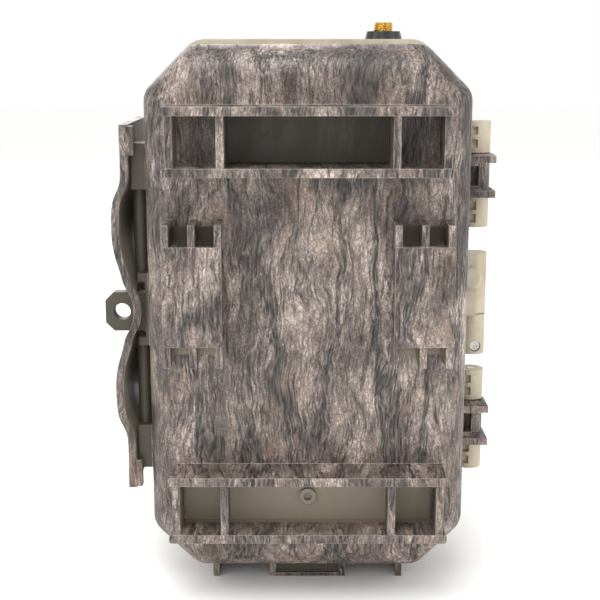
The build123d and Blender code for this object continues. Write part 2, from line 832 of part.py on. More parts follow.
# ------------------------------------------------------------ LED window, board and LEDs
with BuildPart() as led_window:
    rounded_bar(0, led_z, led_window_width, led_window_height,
                pad_y + led_window_thick, pad_y, led_window_round)
save(led_window.part, "led_window")

led_board_y = inner_face_y + led_board_gap
with BuildPart() as led_board:
    rounded_bar(0, led_z, led_window_width, led_window_height, led_board_y + led_board_thick, led_board_y,
                moulding_round)
save(led_board.part, "led_board")

with BuildPart() as ir_leds:
    with BuildSketch(facing(led_board_y)):
        with Locations((0, led_z - case_mid)):
            with GridLocations(led_pitch, led_pitch, led_columns, led_rows):
                Circle(led_radius)
    extrude(amount=led_length)
    fillet(edges().filter_by(GeomType.CIRCLE).group_by(Axis.Y)[0], led_dome)
save(ir_leds.part, "ir_leds")

# ------------------------------------------------------------ lens
bezel_front_y = face_y - bezel_proud
sleeve_rear_y = inner_face_y + bezel_sleeve_depth
with BuildPart() as lens_bezel:
    across(0, lens_z, pad_y, bezel_front_y, bezel_radius)
    chamfer(edges().filter_by(GeomType.CIRCLE).group_by(Axis.Y)[0], bezel_chamfer)
    across(0, lens_z, sleeve_rear_y, pad_y, bezel_sleeve)
    across(0, lens_z, sleeve_rear_y + past, bezel_front_y - past, bezel_bore, mode=Mode.SUBTRACT)
save(lens_bezel.part, "lens_bezel")

with BuildPart() as lens_glass:
    across(0, lens_z, face_y + glass_rear, face_y - glass_front, bezel_bore)
save(lens_glass.part, "lens_glass")

module_front_y = board_front_y - module_depth
module_half = filter_travel / 2 + filter_half_length + module_margin
with BuildPart() as lens_barrel:
    across(0, lens_z, module_front_y, face_y + barrel_front_gap, barrel_radius)
    across(0, lens_z, module_front_y - barrel_collar_low, module_front_y - barrel_collar_high,
           barrel_radius + barrel_collar)
    across(0, lens_z, module_front_y + past, face_y, barrel_bore, mode=Mode.SUBTRACT)
save(lens_barrel.part, "lens_barrel")

filter_y = board_front_y - filter_depth
sensor_y = board_front_y - sensor_depth
slot_half = filter_half_height + filter_slot_gap
slot_half_thick = filter_half_thick + filter_slot_gap
with BuildPart() as camera_module:
    slab((-module_half, module_front_y, lens_z - module_half_height),
         (module_half, board_front_y, lens_z + module_half_height))
    slab((-module_half + module_skin, filter_y - slot_half_thick, lens_z - slot_half),
         (module_half - module_skin, filter_y + slot_half_thick, lens_z + slot_half), mode=Mode.SUBTRACT)
    across(0, lens_z, sensor_y, module_front_y - past, barrel_bore, mode=Mode.SUBTRACT)
save(camera_module.part, "camera_module")

with BuildPart() as image_sensor:
    slab((-sensor_half, sensor_y - sensor_thick, lens_z - sensor_half),
         (sensor_half, sensor_y, lens_z + sensor_half))
save(image_sensor.part, "image_sensor")

with BuildPart() as ir_cut_filter:
    shift = filter_travel / 2
    slab((shift - filter_half_length, filter_y - filter_half_thick, lens_z - filter_half_height),
         (shift + filter_half_length, filter_y + filter_half_thick, lens_z + filter_half_height))
    for x in (0, filter_travel):
        across(x, lens_z, filter_y + past, filter_y - past, aperture_radius, mode=Mode.SUBTRACT)
save(ir_cut_filter.part, "ir_cut_filter")

# ------------------------------------------------------------ motion sensor
pir_front_y = face_y - pir_proud
pir_low = pir_z - pir_height / 2
with BuildPart() as pir_lens:
    with BuildSketch(Plane.XY.offset(pir_low)):
        with Locations((0, pir_front_y + pir_depth / 2)):
            Rectangle(pir_width, pir_depth)
        with Locations((0, pir_front_y + pir_curve)):
            Circle(pir_curve, mode=Mode.INTERSECT)
    extrude(amount=pir_height)
    with BuildSketch(Plane.XY.offset(pir_low + pir_wall)):
        with Locations((0, pir_front_y + pir_depth / 2 + past)):
            Rectangle(pir_width - 2 * pir_wall, pir_depth + 2 * past)
        with Locations((0, pir_front_y + pir_curve)):
            Circle(pir_curve - pir_wall, mode=Mode.INTERSECT)
    extrude(amount=pir_height - 2 * pir_wall, mode=Mode.SUBTRACT)
save(pir_lens.part, "pir_lens")

with BuildPart() as pir_sensor:
    brim_y = board_front_y - past
    across(0, pir_z, board_front_y, brim_y, pir_can_radius + pir_can_brim)
    across(0, pir_z, brim_y, brim_y - pir_can_height, pir_can_radius)
save(pir_sensor.part, "pir_sensor")

for label, side in (("light_sensor_window", 1), ("status_led", -1)):
    with BuildPart() as small_window:
        across(side * small_window_x, lens_z, inner_face_y + small_window_rear, face_y - small_window_proud,
               small_window_radius)
    save(small_window.part, label)

# ------------------------------------------------------------ main board and what it carries
board_half_width = half_width - board_side_gap
board_half_height = case_height / 2 - board_end_gap
with BuildPart() as main_board:
    with BuildSketch(facing(board_rear_y)):
        RectangleRounded(2 * board_half_width, 2 * board_half_height, board_round)
    extrude(amount=board_thick)
    for x, z in screw_places:
        across(x, z, board_rear_y + past, board_front_y - past, cover_screw_radius + cover_screw_clearance,
               mode=Mode.SUBTRACT)
    for side in (-1, 1):
        near = side * (half_width - side_screw_inset - board_notch_outer)
        far = side * (half_width - side_screw_inset + board_notch_inner)
        slab((min(near, far), board_front_y - past, case_mid - board_notch_inner),
             (max(near, far), board_rear_y + past, case_mid + board_notch_inner), mode=Mode.SUBTRACT)
save(main_board.part, "main_board")

with BuildPart() as radio_module:
    slab((radio_low[0], board_front_y - radio_thick, case_mid + radio_low[1]),
         (radio_high[0], board_front_y, case_mid + radio_high[1]))
save(radio_module.part, "radio_module")

with BuildPart() as display_panel:
    rounded_bar(0, case_mid + display_centre, display_width, display_height,
                frame_front_y, frame_front_y - display_thick, moulding_round)
save(display_panel.part, "display_panel")

with BuildPart() as display_window:
    rounded_bar(0, case_mid + display_centre, window_width, window_height,
                plate_rear_y - window_sink, frame_front_y, window_round)
save(display_window.part, "display_window")

flange_rear_y = frame_front_y - button_flange_gap
flange_front_y = flange_rear_y - button_flange_thick
for label, (x, z) in button_places.items():
    with BuildPart() as button:
        across(x, z, plate_rear_y + button_proud, flange_front_y, button_radius)
        fillet(edges().filter_by(GeomType.CIRCLE).group_by(Axis.Y)[-1], button_round)
        across(x, z, flange_rear_y, flange_front_y, button_radius + button_flange)
    save(button.part, label)

with BuildPart() as tact_switches:
    tact_rear_y = board_rear_y + tact_height
    tact_half = tact_body / 2
    for x, z in button_places.values():
        slab((x - tact_half, board_rear_y, z - tact_half), (x + tact_half, tact_rear_y, z + tact_half))
        across(x, z, flange_front_y - button_travel - tact_stem_gap, tact_rear_y, tact_stem_radius)
save(tact_switches.part, "tact_switches")

with BuildPart() as mode_switch_knob:
    knob_rear_y = plate_rear_y + knob_proud
    rounded_bar(switch_x, switch_mid, knob_width, knob_height,
                knob_rear_y, frame_front_y - past, moulding_round)
    for height in (switch_mid - knob_groove_pitch, switch_mid, switch_mid + knob_groove_pitch):
        slab((switch_x - knob_width, knob_rear_y - knob_groove_depth, height - knob_groove / 2),
             (switch_x + knob_width, knob_rear_y + past, height + knob_groove / 2), mode=Mode.SUBTRACT)
save(mode_switch_knob.part, "mode_switch_knob")

with BuildPart() as mode_switch_body:
    slab((switch_x - switch_body_half_width, board_rear_y, switch_mid - switch_body_half_height),
         (switch_x + switch_body_half_width, frame_front_y - switch_body_gap,
          switch_mid + switch_body_half_height))
save(mode_switch_body.part, "mode_switch_body")

sd_rear_y = frame_front_y - sd_sink
sd_bottom = sd_z - sd_length / 2
with BuildPart() as sd_card:
    with BuildSketch(facing(sd_rear_y)):
        with Locations((sd_x, sd_z - case_mid)):
            Rectangle(sd_width, sd_length)
        chamfer(vertices().group_by(Axis.Z)[0].sort_by(Axis.X)[-1], sd_corner)
    extrude(amount=sd_thick)
save(sd_card.part, "sd_card")

with BuildPart() as sd_socket:
    sd_half = sd_width / 2
    slab((sd_x - sd_half - sd_socket_wall, board_rear_y, sd_bottom - sd_socket_floor),
         (sd_x + sd_half + sd_socket_wall, sd_rear_y + 2 * sd_clearance, sd_bottom + sd_socket_grip))
    slab((sd_x - sd_half - sd_clearance, sd_rear_y - sd_thick - sd_clearance, sd_bottom - sd_clearance),
         (sd_x + sd_half + sd_clearance, sd_rear_y + sd_clearance, sd_bottom + sd_socket_grip + past),
         mode=Mode.SUBTRACT)
save(sd_socket.part, "sd_socket")

with BuildPart() as sim_socket:
    sim_half = sim_width / 2
    slab((sim_x - sim_half, board_rear_y, port_z - sim_low),
         (sim_x + sim_half, frame_front_y - sim_sink, port_z + sim_high))
    slab((sim_x - sim_half + sim_wall, frame_front_y - sim_mouth_low, port_z - sim_low + sim_wall),
         (sim_x + sim_half - sim_wall, frame_front_y - sim_mouth_high, port_z + sim_high + past),
         mode=Mode.SUBTRACT)
save(sim_socket.part, "sim_socket")

with BuildPart() as usb_port:
    rounded_bar(0, port_z, usb_width, usb_height, plate_rear_y - usb_sink, board_rear_y, usb_round)
    rounded_bar(0, port_z, usb_width - 2 * usb_skin, usb_height - 2 * usb_skin,
                plate_rear_y, board_rear_y + past, usb_round - usb_skin, mode=Mode.SUBTRACT)
save(usb_port.part, "usb_port")

# ------------------------------------------------------------ power jack and its rubber plug
with BuildPart() as dc_jack:
    jack_low = case_bottom + dc_sink
    upright(dc_x, dc_y, jack_low, jack_low + dc_length, dc_radius)
    upright(dc_x, dc_y, case_bottom, case_bottom + dc_hole_depth, dc_hole, mode=Mode.SUBTRACT)
    upright(dc_x, dc_y, case_bottom + dc_pin_low, case_bottom + dc_pin_high, dc_pin_radius)
save(dc_jack.part, "dc_jack")

with BuildPart() as dc_plug:
    cap_top = case_bottom - plug_gap
    upright(dc_x, dc_y, cap_top - plug_cap, cap_top, dc_radius + plug_brim)
    fillet(edges().filter_by(GeomType.CIRCLE).sort_by(Axis.Z)[0], plug_round)
    upright(dc_x, dc_y, cap_top, case_bottom + plug_length, dc_hole - plug_clearance)
save(dc_plug.part, "dc_plug")

# ------------------------------------------------------------ antenna connector
collar_top = case_top + collar_height
with BuildPart() as antenna_collar:
    with BuildSketch(Plane.XY.offset(case_top)):
        with Locations((antenna_x, antenna_y)):
            Circle(collar_low_radius)
    with BuildSketch(Plane.XY.offset(collar_top)):
        with Locations((antenna_x, antenna_y)):
            Circle(collar_high_radius)
    loft()
    upright(antenna_x, antenna_y, case_top - past, collar_top + past,
            antenna_shank_radius + antenna_shank_clearance, mode=Mode.SUBTRACT)
save(antenna_collar.part, "antenna_collar")

thread_low = collar_top + antenna_relief
thread_top = thread_low + antenna_thread_length
with BuildPart() as antenna_connector:
    bore_floor = thread_top - antenna_bore_depth
    upright(antenna_x, antenna_y, case_top - antenna_shank_depth, thread_low, antenna_shank_radius)
    upright(antenna_x, antenna_y, thread_low, thread_top, antenna_thread_radius)
    upright(antenna_x, antenna_y, bore_floor, thread_top + past, antenna_bore, mode=Mode.SUBTRACT)
    upright(antenna_x, antenna_y, bore_floor - antenna_pin_root, thread_top - antenna_pin_sink,
            antenna_pin_radius)
save(antenna_connector.part, "antenna_connector")

with BuildPart() as antenna_nut:
    nut_low = case_top - wall - antenna_nut_gap - antenna_nut_thick
    with BuildSketch(Plane.XY.offset(nut_low)):
        with Locations((antenna_x, antenna_y)):
            RegularPolygon(antenna_nut_radius, 6)
            Circle(antenna_shank_radius, mode=Mode.SUBTRACT)
    extrude(amount=antenna_nut_thick)
save(antenna_nut.part, "antenna_nut")

# ------------------------------------------------------------ screws
with BuildPart() as cover_screws:
    for x, z in screw_places + side_screws:
        across(x, z, board_rear_y + cover_screw_head, board_rear_y, cover_screw_head_radius)
        across(x, z, board_rear_y, board_front_y - cover_screw_length, cover_screw_radius)
save(cover_screws.part, "cover_screws")

# ------------------------------------------------------------ battery tray and cells
cell_pitch = 2 * cell_radius + cell_spacing
pocket_radius = cell_radius + cell_clearance
tray_half = cells_per_row * cell_pitch / 2 + tray_side
row_height = cell_length + nub_length
tray_low = case_bottom + tray_rise
row_bottoms = [tray_low + row_gap / 2 + tray_end, tray_low + row_gap * 1.5 + row_height + tray_end]
tray_high = row_bottoms[1] + row_height + row_gap / 2 + tray_end
cell_y = base_y - wall - tray_floor - pocket_radius
cell_xs = [(index - (cells_per_row - 1) / 2) * cell_pitch for index in range(cells_per_row)]
tray_front_y = cell_y - tray_lip

with BuildPart() as battery_tray:
    slab((-tray_half, tray_front_y, tray_low), (tray_half, base_y - wall, tray_high))
    for bottom in row_bottoms:
        low = bottom - row_gap / 2
        high = bottom + row_height + row_gap / 2 - past
        for x in cell_xs:
            upright(x, cell_y, low, high, pocket_radius, mode=Mode.SUBTRACT)
            slab((x - pocket_radius, tray_front_y - past, low), (x + pocket_radius, cell_y, high),
                 mode=Mode.SUBTRACT)
save(battery_tray.part, "battery_tray")

for label, bottom in (("battery_cells_lower", row_bottoms[0]), ("battery_cells_upper", row_bottoms[1])):
    with BuildPart() as battery_cells:
        for x in cell_xs:
            upright(x, cell_y, bottom, bottom + cell_length, cell_radius)
            upright(x, cell_y, bottom + cell_length, bottom + row_height, nub_radius)
    save(battery_cells.part, label)

with BuildPart() as battery_springs:
    for bottom in row_bottoms:
        for x in cell_xs:
            with Locations((x, cell_y, bottom - row_gap / 4)):
                Cone(spring_foot_radius, spring_tip_radius, row_gap / 2)
save(battery_springs.part, "battery_springs")

with BuildPart() as battery_contacts:
    for bottom in row_bottoms:
        top = bottom + row_height
        for x in cell_xs:
            slab((x - contact_half_width, cell_y - contact_low, top),
                 (x + contact_half_width, cell_y + contact_high, top + contact_thick))
save(battery_contacts.part, "battery_contacts")

with BuildPart() as tray_screws:
    for side in (-1, 1):
        across(side * (tray_half - tray_side / 2), (tray_low + tray_high) / 2,
               tray_front_y, tray_front_y - tray_screw_head, tray_screw_radius)
save(tray_screws.part, "tray_screws")
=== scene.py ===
# %% [markdown]
# # A trail camera, seen from its strap side
# The housing, the hinges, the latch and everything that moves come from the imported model.
# This lesson gives those parts their finishes and adds the fine pieces that a CAD model leaves plain:
# a cut thread, coiled springs, a lens stack, cross-head screws and sleeved cells.

# %% Load the frame
import bpy
import math
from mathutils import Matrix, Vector


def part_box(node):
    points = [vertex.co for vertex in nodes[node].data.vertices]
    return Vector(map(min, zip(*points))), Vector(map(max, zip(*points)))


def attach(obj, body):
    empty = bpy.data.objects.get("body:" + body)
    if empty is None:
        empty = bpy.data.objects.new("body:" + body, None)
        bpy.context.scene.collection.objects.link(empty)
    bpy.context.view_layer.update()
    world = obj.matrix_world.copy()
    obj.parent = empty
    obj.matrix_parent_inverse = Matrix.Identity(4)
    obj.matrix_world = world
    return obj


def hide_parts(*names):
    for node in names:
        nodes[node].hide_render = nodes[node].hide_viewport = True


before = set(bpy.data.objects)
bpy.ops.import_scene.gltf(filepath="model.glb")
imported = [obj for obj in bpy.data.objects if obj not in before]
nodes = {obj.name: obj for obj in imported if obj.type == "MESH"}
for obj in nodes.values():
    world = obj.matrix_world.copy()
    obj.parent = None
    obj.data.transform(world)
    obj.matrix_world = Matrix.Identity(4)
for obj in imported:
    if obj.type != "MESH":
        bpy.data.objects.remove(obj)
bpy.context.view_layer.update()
mm = 0.001

# %% [markdown]
# ## Measures that the finishes follow
# The bark film lies on the outside of the mouldings only. To know outside from inside, the materials need
# the case's own outline, so its main sizes are read from the boxes of the parts rather than typed in.

# %% Main measures
gasket_low, gasket_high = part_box("case_gasket")
shell_low, shell_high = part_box("rear_shell")
led_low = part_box("led_window")[0]
lens_low, lens_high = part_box("lens_bezel")
pir_low, pir_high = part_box("pir_lens")

half_width = gasket_high.x + 0.5 * mm
half_height = (gasket_high.z - gasket_low.z) / 2 + 0.5 * mm
middle_z = (gasket_high.z + gasket_low.z) / 2
rear_wall_y = shell_high.y - 13 * mm
face_y = led_low.y + 1 * mm
corner_leg = 13.7 * mm
print("case, mm:", round(2 * half_width / mm, 1), "x", round(2 * half_height / mm, 1))


# %% [markdown]
# ## Helpers
# Colours are picked as the eye sees them, so one function turns a hex value to the linear light that a
# shader adds up. Another adds a shader node with its settings and its links, which keeps each material
# below readable as a recipe.

# %% Colour and node helpers
def colour(code, alpha=1.0):
    """Linear colour for an sRGB hex value."""
    channels = [int(code[i:i + 2], 16) / 255 for i in (0, 2, 4)]
    return [c / 12.92 if c <= 0.04045 else ((c + 0.055) / 1.055) ** 2.4 for c in channels] + [alpha]


def feed(material, node, inputs):
    """Set or link inputs; each is a number, a colour, a node (its first output) or a socket."""
    for key, value in inputs.items():
        if isinstance(value, bpy.types.Node):
            value = value.outputs[0]
        if isinstance(value, bpy.types.NodeSocket):
            material.node_tree.links.new(value, node.inputs[key])
        else:
            node.inputs[key].default_value = value


def add(material, kind, inputs=None, **settings):
    """Add one shader node with its settings and its inputs."""
    made = material.node_tree.nodes.new("ShaderNode" + kind)
    for key, value in settings.items():
        setattr(made, key, value)
    feed(material, made, inputs or {})
    return made


def start(name):
    """A new material with its principled shader and the object's own coordinates."""
    material = bpy.data.materials.new(name)
    material.use_nodes = True
    shader = material.node_tree.nodes["Principled BSDF"]
    place = add(material, "TexCoord")
    return material, shader, place


def dress(material, *names):
    """Give CAD nodes a material."""
    for name in names:
        slots = nodes[name].data.materials
        slots.clear()
        slots.append(material)


# %% [markdown]
# ## Bark film
# The housings are moulded ABS that is hydro-dipped: a printed film floats on water and wraps the part as
# it is pushed through. The print is tree bark, with long dark furrows between pale plates that are
# themselves crazed. It could be an image, but an image would need unwrapping over every rib. Here it is
# solid noise stretched along the trunk: a furrow is drawn wherever that noise crosses its middle value,
# and small cells make the crazing. Solid noise runs on over each edge as the real film does. On the top
# and the underside the film is folded over, so there the noise is stretched from front to back instead.

# %% Bark print
furrow_scale = (0.062, 0.062, 0.0085)
rift_scale = (0.17, 0.17, 0.026)
plate_width = 1.3
plate_length = 2.4
level_limit = 0.97


def valley(material, place, scale, shift, detail, half_width_value, ragged, depth):
    """Long dark lines where a stretched noise crosses its middle value."""
    at = add(material, "Mapping", {"Vector": place, "Location": shift, "Scale": scale})
    field = add(material, "TexNoise", {"Vector": at, "Scale": 1.0, "Detail": detail, "Roughness": 0.5})
    offset = add(material, "Math", {0: field, 1: 0.5}, operation="SUBTRACT")
    distance = add(material, "Math", {0: offset}, operation="ABSOLUTE")
    torn = add(material, "Math", {0: distance, 1: ragged}, operation="ADD")
    return add(material, "MapRange", {"Value": torn, "From Min": 0.0, "From Max": 2 * half_width_value,
                                      "To Min": depth, "To Max": 0.0}, interpolation_type="SMOOTHSTEP")


def folded_over(material, place, upright):
    """Positions with Y and Z exchanged on level faces, with a torn line where the exchange begins."""
    normal = add(material, "SeparateXYZ", {0: place.outputs["Normal"]})
    level = add(material, "Math", {0: normal.outputs["Z"]}, operation="ABSOLUTE")
    tear = add(material, "TexNoise", {"Vector": upright, "Scale": 0.35, "Detail": 4.0})
    torn = add(material, "Math", {0: tear, 1: 0.24, 2: level}, operation="MULTIPLY_ADD")
    on_level = add(material, "Math", {0: torn, 1: level_limit}, operation="GREATER_THAN")
    apart = add(material, "SeparateXYZ", {0: upright})
    laid = add(material, "CombineXYZ", {0: apart.outputs["X"], 1: apart.outputs["Z"],
                                        2: apart.outputs["Y"]})
    chosen = add(material, "Mix", {"Factor": on_level, "A": upright, "B": laid}, data_type="VECTOR")
    return chosen.outputs["Result"]


def bark_colour(material, place):
    """The printed bark, from positions in millimetres. Returns its colour, its grain and its furrows."""
    upright = add(material, "VectorMath", {0: place.outputs["Object"], "Scale": 1 / mm},
                  operation="SCALE")
    grid = folded_over(material, place, upright)
    sway_at = add(material, "Mapping", {"Vector": grid, "Scale": (0.06, 0.06, 0.04)})
    sway = add(material, "TexNoise", {"Vector": sway_at, "Scale": 1.0, "Detail": 3.0})
    centred = add(material, "VectorMath", {0: sway.outputs["Color"], 1: (0.5, 0.5, 0.5)},
                  operation="SUBTRACT")
    pushed = add(material, "VectorMath", {0: centred, 1: (9.0, 9.0, 9.0)}, operation="MULTIPLY")
    bent = add(material, "VectorMath", {0: grid, 1: pushed}, operation="ADD")

    fibre_at = add(material, "Mapping", {"Vector": bent, "Scale": (1.5, 1.5, 0.14)})
    fibre = add(material, "TexNoise", {"Vector": fibre_at, "Scale": 1.0, "Detail": 5.0, "Roughness": 0.7})
    grain_at = add(material, "Mapping", {"Vector": grid, "Scale": (2.6, 2.6, 1.5)})
    grain = add(material, "TexNoise", {"Vector": grain_at, "Scale": 1.0, "Detail": 4.0, "Roughness": 0.8})
    tone_at = add(material, "Mapping", {"Vector": bent, "Scale": (0.10, 0.10, 0.045)})
    tone = add(material, "TexNoise", {"Vector": tone_at, "Scale": 1.0, "Detail": 6.0, "Roughness": 0.65})

    ragged = add(material, "Math", {0: fibre, 1: 0.16, 2: -0.08}, operation="MULTIPLY_ADD")
    wide = valley(material, bent, furrow_scale, (3.7, 1.3, 0.0), 1.5, 0.036, ragged, 1.0)
    narrow = valley(material, bent, rift_scale, (9.1, 4.4, 2.0), 2.0, 0.024, ragged, 0.75)
    furrow = add(material, "Math", {0: wide, 1: narrow}, operation="MAXIMUM")

    crack_push = add(material, "VectorMath", {0: grain.outputs["Color"], "Scale": 1.3}, operation="SCALE")
    crack_bent = add(material, "VectorMath", {0: bent, 1: crack_push}, operation="ADD")
    crack_at = add(material, "Mapping",
                   {"Vector": crack_bent, "Scale": (1 / plate_width, 1 / plate_width, 1 / plate_length)})
    crack_cells = add(material, "TexVoronoi", {"Vector": crack_at, "Scale": 1.0},
                      feature="DISTANCE_TO_EDGE")
    crack = add(material, "MapRange", {"Value": crack_cells, "From Min": 0.0, "From Max": 0.15,
                                       "To Min": 0.62, "To Max": 0.0})
    sparse = add(material, "MapRange", {"Value": tone, "From Min": 0.36, "From Max": 0.56,
                                        "To Min": 0.25, "To Max": 1.0})
    crazing = add(material, "Math", {0: crack, 1: sparse}, operation="MULTIPLY")

    blend_a = add(material, "Math", {0: fibre, 1: 0.55, 2: -0.2}, operation="MULTIPLY_ADD")
    blend_b = add(material, "Math", {0: tone, 1: 0.85, 2: blend_a}, operation="MULTIPLY_ADD")
    speckled = add(material, "Math", {0: grain, 1: 0.55, 2: -0.275}, operation="MULTIPLY_ADD")
    mixed = add(material, "Math", {0: blend_b, 1: speckled}, operation="ADD")
    ramp = add(material, "ValToRGB", {"Fac": mixed})
    stops = ramp.color_ramp.elements
    stops[0].position = 0.345
    stops[0].color = colour("332A28")
    stops[1].position = 0.705
    stops[1].color = colour("D3C4B8")
    for spot, code in ((0.42, "554B47"), (0.49, "746761"), (0.56, "94867D"), (0.635, "B3A498")):
        stop = stops.new(spot)
        stop.color = colour(code)

    rust_at = add(material, "Mapping", {"Vector": bent, "Scale": (0.07, 0.07, 0.04),
                                        "Location": (7.0, 3.0, 11.0)})
    rust = add(material, "TexNoise", {"Vector": rust_at, "Scale": 1.0, "Detail": 5.0, "Roughness": 0.7})
    rusty = add(material, "MapRange", {"Value": rust, "From Min": 0.56, "From Max": 0.70,
                                       "To Min": 0.0, "To Max": 0.55})
    warm = add(material, "Mix", {"Factor": rusty, "A": ramp, "B": colour("9C7A5E")}, data_type="RGBA")
    crazed = add(material, "Mix", {"Factor": crazing, "A": warm.outputs["Result"], "B": colour("4A4240")},
                 data_type="RGBA")
    streak = add(material, "MapRange", {"Value": fibre, "From Min": 0.40, "From Max": 0.68})
    depths = add(material, "Mix", {"Factor": streak, "A": colour("1E1B1A"), "B": colour("6B625F")},
                 data_type="RGBA")
    barked = add(material, "Mix", {"Factor": furrow, "A": crazed.outputs["Result"],
                                   "B": depths.outputs["Result"]}, data_type="RGBA")
    return barked.outputs["Result"], grain, furrow


# %% [markdown]
# ## Film outside, bare plastic inside
# Dipping coats what the water reaches. The inside of a housing and the bottoms of its deepest pockets keep
# the resin's own sand colour. On the rear shell, the centre recess, the feet, the latch blocks and the
# openings above the strap bridges get a much darker resin colour, which is painted shade. The depth below the
# case's rounded outline says which side of the wall a point is on: zero outside, one wall thickness inside.
# The fade between them is half a millimetre, about as short as a real film's edge.

# %% Depth below the outline
def case_depth(material, place, flat_y, towards, edge_radius):
    """Depth in millimetres below the rounded case outline, for the half whose flat wall is at flat_y."""
    at = add(material, "VectorMath", {0: place.outputs["Object"], 1: (0, flat_y, middle_z)},
             operation="SUBTRACT")
    scaled = add(material, "VectorMath", {0: at, "Scale": 1 / mm}, operation="SCALE")
    signed = add(material, "SeparateXYZ", {0: scaled})
    folded = add(material, "VectorMath", {0: scaled}, operation="ABSOLUTE")
    apart = add(material, "SeparateXYZ", {0: folded})
    side = add(material, "Math", {0: half_width / mm, 1: apart.outputs["X"]}, operation="SUBTRACT")
    end = add(material, "Math", {0: half_height / mm, 1: apart.outputs["Z"]}, operation="SUBTRACT")
    both = add(material, "Math", {0: side, 1: end}, operation="ADD")
    corner = add(material, "Math", {0: both, 1: math.sqrt(0.5), 2: -corner_leg / mm * math.sqrt(0.5)},
                 operation="MULTIPLY_ADD")
    nearest = add(material, "Math", {0: side, 1: end}, operation="MINIMUM")
    outline = add(material, "Math", {0: nearest, 1: corner}, operation="MINIMUM")
    below = add(material, "Math", {0: signed.outputs["Y"], 1: -towards}, operation="MULTIPLY")
    short = []
    for distance in (outline, below):
        left = add(material, "Math", {0: edge_radius, 1: distance}, operation="SUBTRACT")
        short.append(add(material, "Math", {0: left, 1: 0.0}, operation="MAXIMUM"))
    joined = add(material, "CombineXYZ", {0: short[0], 1: short[1]})
    reach = add(material, "VectorMath", {0: joined}, operation="LENGTH")
    return add(material, "Math", {0: edge_radius, 1: reach.outputs["Value"]}, operation="SUBTRACT")


def pocket(material, place, low, high, fade):
    """One inside a box of the object, in metres, fading out over fade."""
    middle = [(a + b) / 2 for a, b in zip(low, high)]
    half = [(b - a) / 2 for a, b in zip(low, high)]
    at = add(material, "VectorMath", {0: place.outputs["Object"], 1: middle}, operation="SUBTRACT")
    folded = add(material, "VectorMath", {0: at}, operation="ABSOLUTE")
    left = add(material, "VectorMath", {0: half, 1: folded}, operation="SUBTRACT")
    apart = add(material, "SeparateXYZ", {0: left})
    first = add(material, "Math", {0: apart.outputs["X"], 1: apart.outputs["Y"]}, operation="MINIMUM")
    nearest = add(material, "Math", {0: first, 1: apart.outputs["Z"]}, operation="MINIMUM")
    return add(material, "MapRange", {"Value": nearest, "From Min": 0.0, "From Max": fade})


def union(material, *masks):
    """The largest of several masks."""
    result = masks[0]
    for mask in masks[1:]:
        result = add(material, "Math", {0: result, 1: mask}, operation="MAXIMUM")
    return result


# %% [markdown]
# ## The dipped ABS itself
# ABS has an IOR near 1.53. The satin topcoat over the film leaves a roughness around 0.42, a little rougher
# in the furrows where the ink lies thick. Sharp ribs stretch the film, so it pales there, and the paling is
# pushed further as a painted highlight on every edge. A bevel node finds those edges and also rounds the
# light over them, as the moulding's half millimetre radii do.

# %% Dipped and bare ABS
edge_round = 0.5 * mm
bare_code = "9C927F"
# Painted shade: the dark colour given to bare resin in the rear shell's deepest places.
recess_shade_code = "453E34"


def dipped_abs(name, bare_mask, painted_shade_mask=None, edge_thin_film_and_highlight=0.7):
    """Hydro-dipped ABS; the masks are functions that say where the resin is bare, or bare and darkened as
    painted shade.
    """
    material, shader, place = start(name)
    print_colour, grain, furrow = bark_colour(material, place)
    rounded = add(material, "Bevel", {"Radius": edge_round}, samples=6)
    facing_it = add(material, "NewGeometry")
    likeness = add(material, "VectorMath", {0: rounded, 1: facing_it.outputs["Normal"]},
                   operation="DOT_PRODUCT")
    # Paler edges: partly film stretched thin, partly a painted highlight along every edge.
    edge = add(material, "MapRange", {"Value": likeness.outputs["Value"], "From Min": 0.97,
                                      "From Max": 0.80, "To Min": 0.0, "To Max": edge_thin_film_and_highlight})
    patchy = add(material, "Math", {0: edge, 1: grain}, operation="MULTIPLY")
    film_thinned_and_highlit = add(material, "Mix", {"Factor": patchy, "A": print_colour, "B": colour("D2C8BC")},
                data_type="RGBA")
    resin_noise = add(material, "Mix", {"Factor": grain, "A": colour(bare_code),
                                        "B": colour("8B8270")}, data_type="RGBA")
    resin = resin_noise.outputs["Result"]
    # Painted shade darkens the bare resin where the second mask says.
    if painted_shade_mask:
        resin = add(material, "Mix", {"Factor": painted_shade_mask(material, place), "A": resin,
                                      "B": colour(recess_shade_code)}, data_type="RGBA").outputs["Result"]
    skin = add(material, "Mix", {"Factor": bare_mask(material, place), "A": film_thinned_and_highlit.outputs["Result"],
                                 "B": resin}, data_type="RGBA")
    gloss = add(material, "MapRange", {"Value": furrow, "To Min": 0.40, "To Max": 0.56})
    peel = add(material, "Bump", {"Strength": 0.35, "Distance": 0.08 * mm, "Height": grain,
                                  "Normal": rounded})
    feed(material, shader, {"Base Color": skin.outputs["Result"], "Roughness": gloss, "Normal": peel,
                            "IOR": 1.53})
    return material


# %% Where the film stops
wall_middle = 1.2
film_edge = 0.25
bracket_wall = 2.6 * mm
trough_low_z = shell_low.z + 6.3 * mm + 15.4 * mm + bracket_wall
trough_high_z = trough_low_z + 15.1 * mm
bracket_high_z = shell_high.z - 16.9 * mm - bracket_wall
bracket_low_z = bracket_high_z - 14.4 * mm
rib_x = 23.5 * mm
end_x = 37.7 * mm
bridge_x = 33 * mm
mouth_half = 7.6 * mm
bridge_z = middle_z + 9.5 * mm
latch_half = 60 * mm
rear_edge_radius = 9.5
front_edge_radius = 7.0
foot_half = 10.2 * mm
foot_low, foot_high = 0.8 * mm, 6.6 * mm
foot_deep = 5.6 * mm


def inside(material, place, flat_y, towards, edge_radius):
    depth = case_depth(material, place, flat_y, towards, edge_radius)
    return add(material, "MapRange", {"Value": depth, "From Min": wall_middle - film_edge,
                                      "From Max": wall_middle + film_edge})


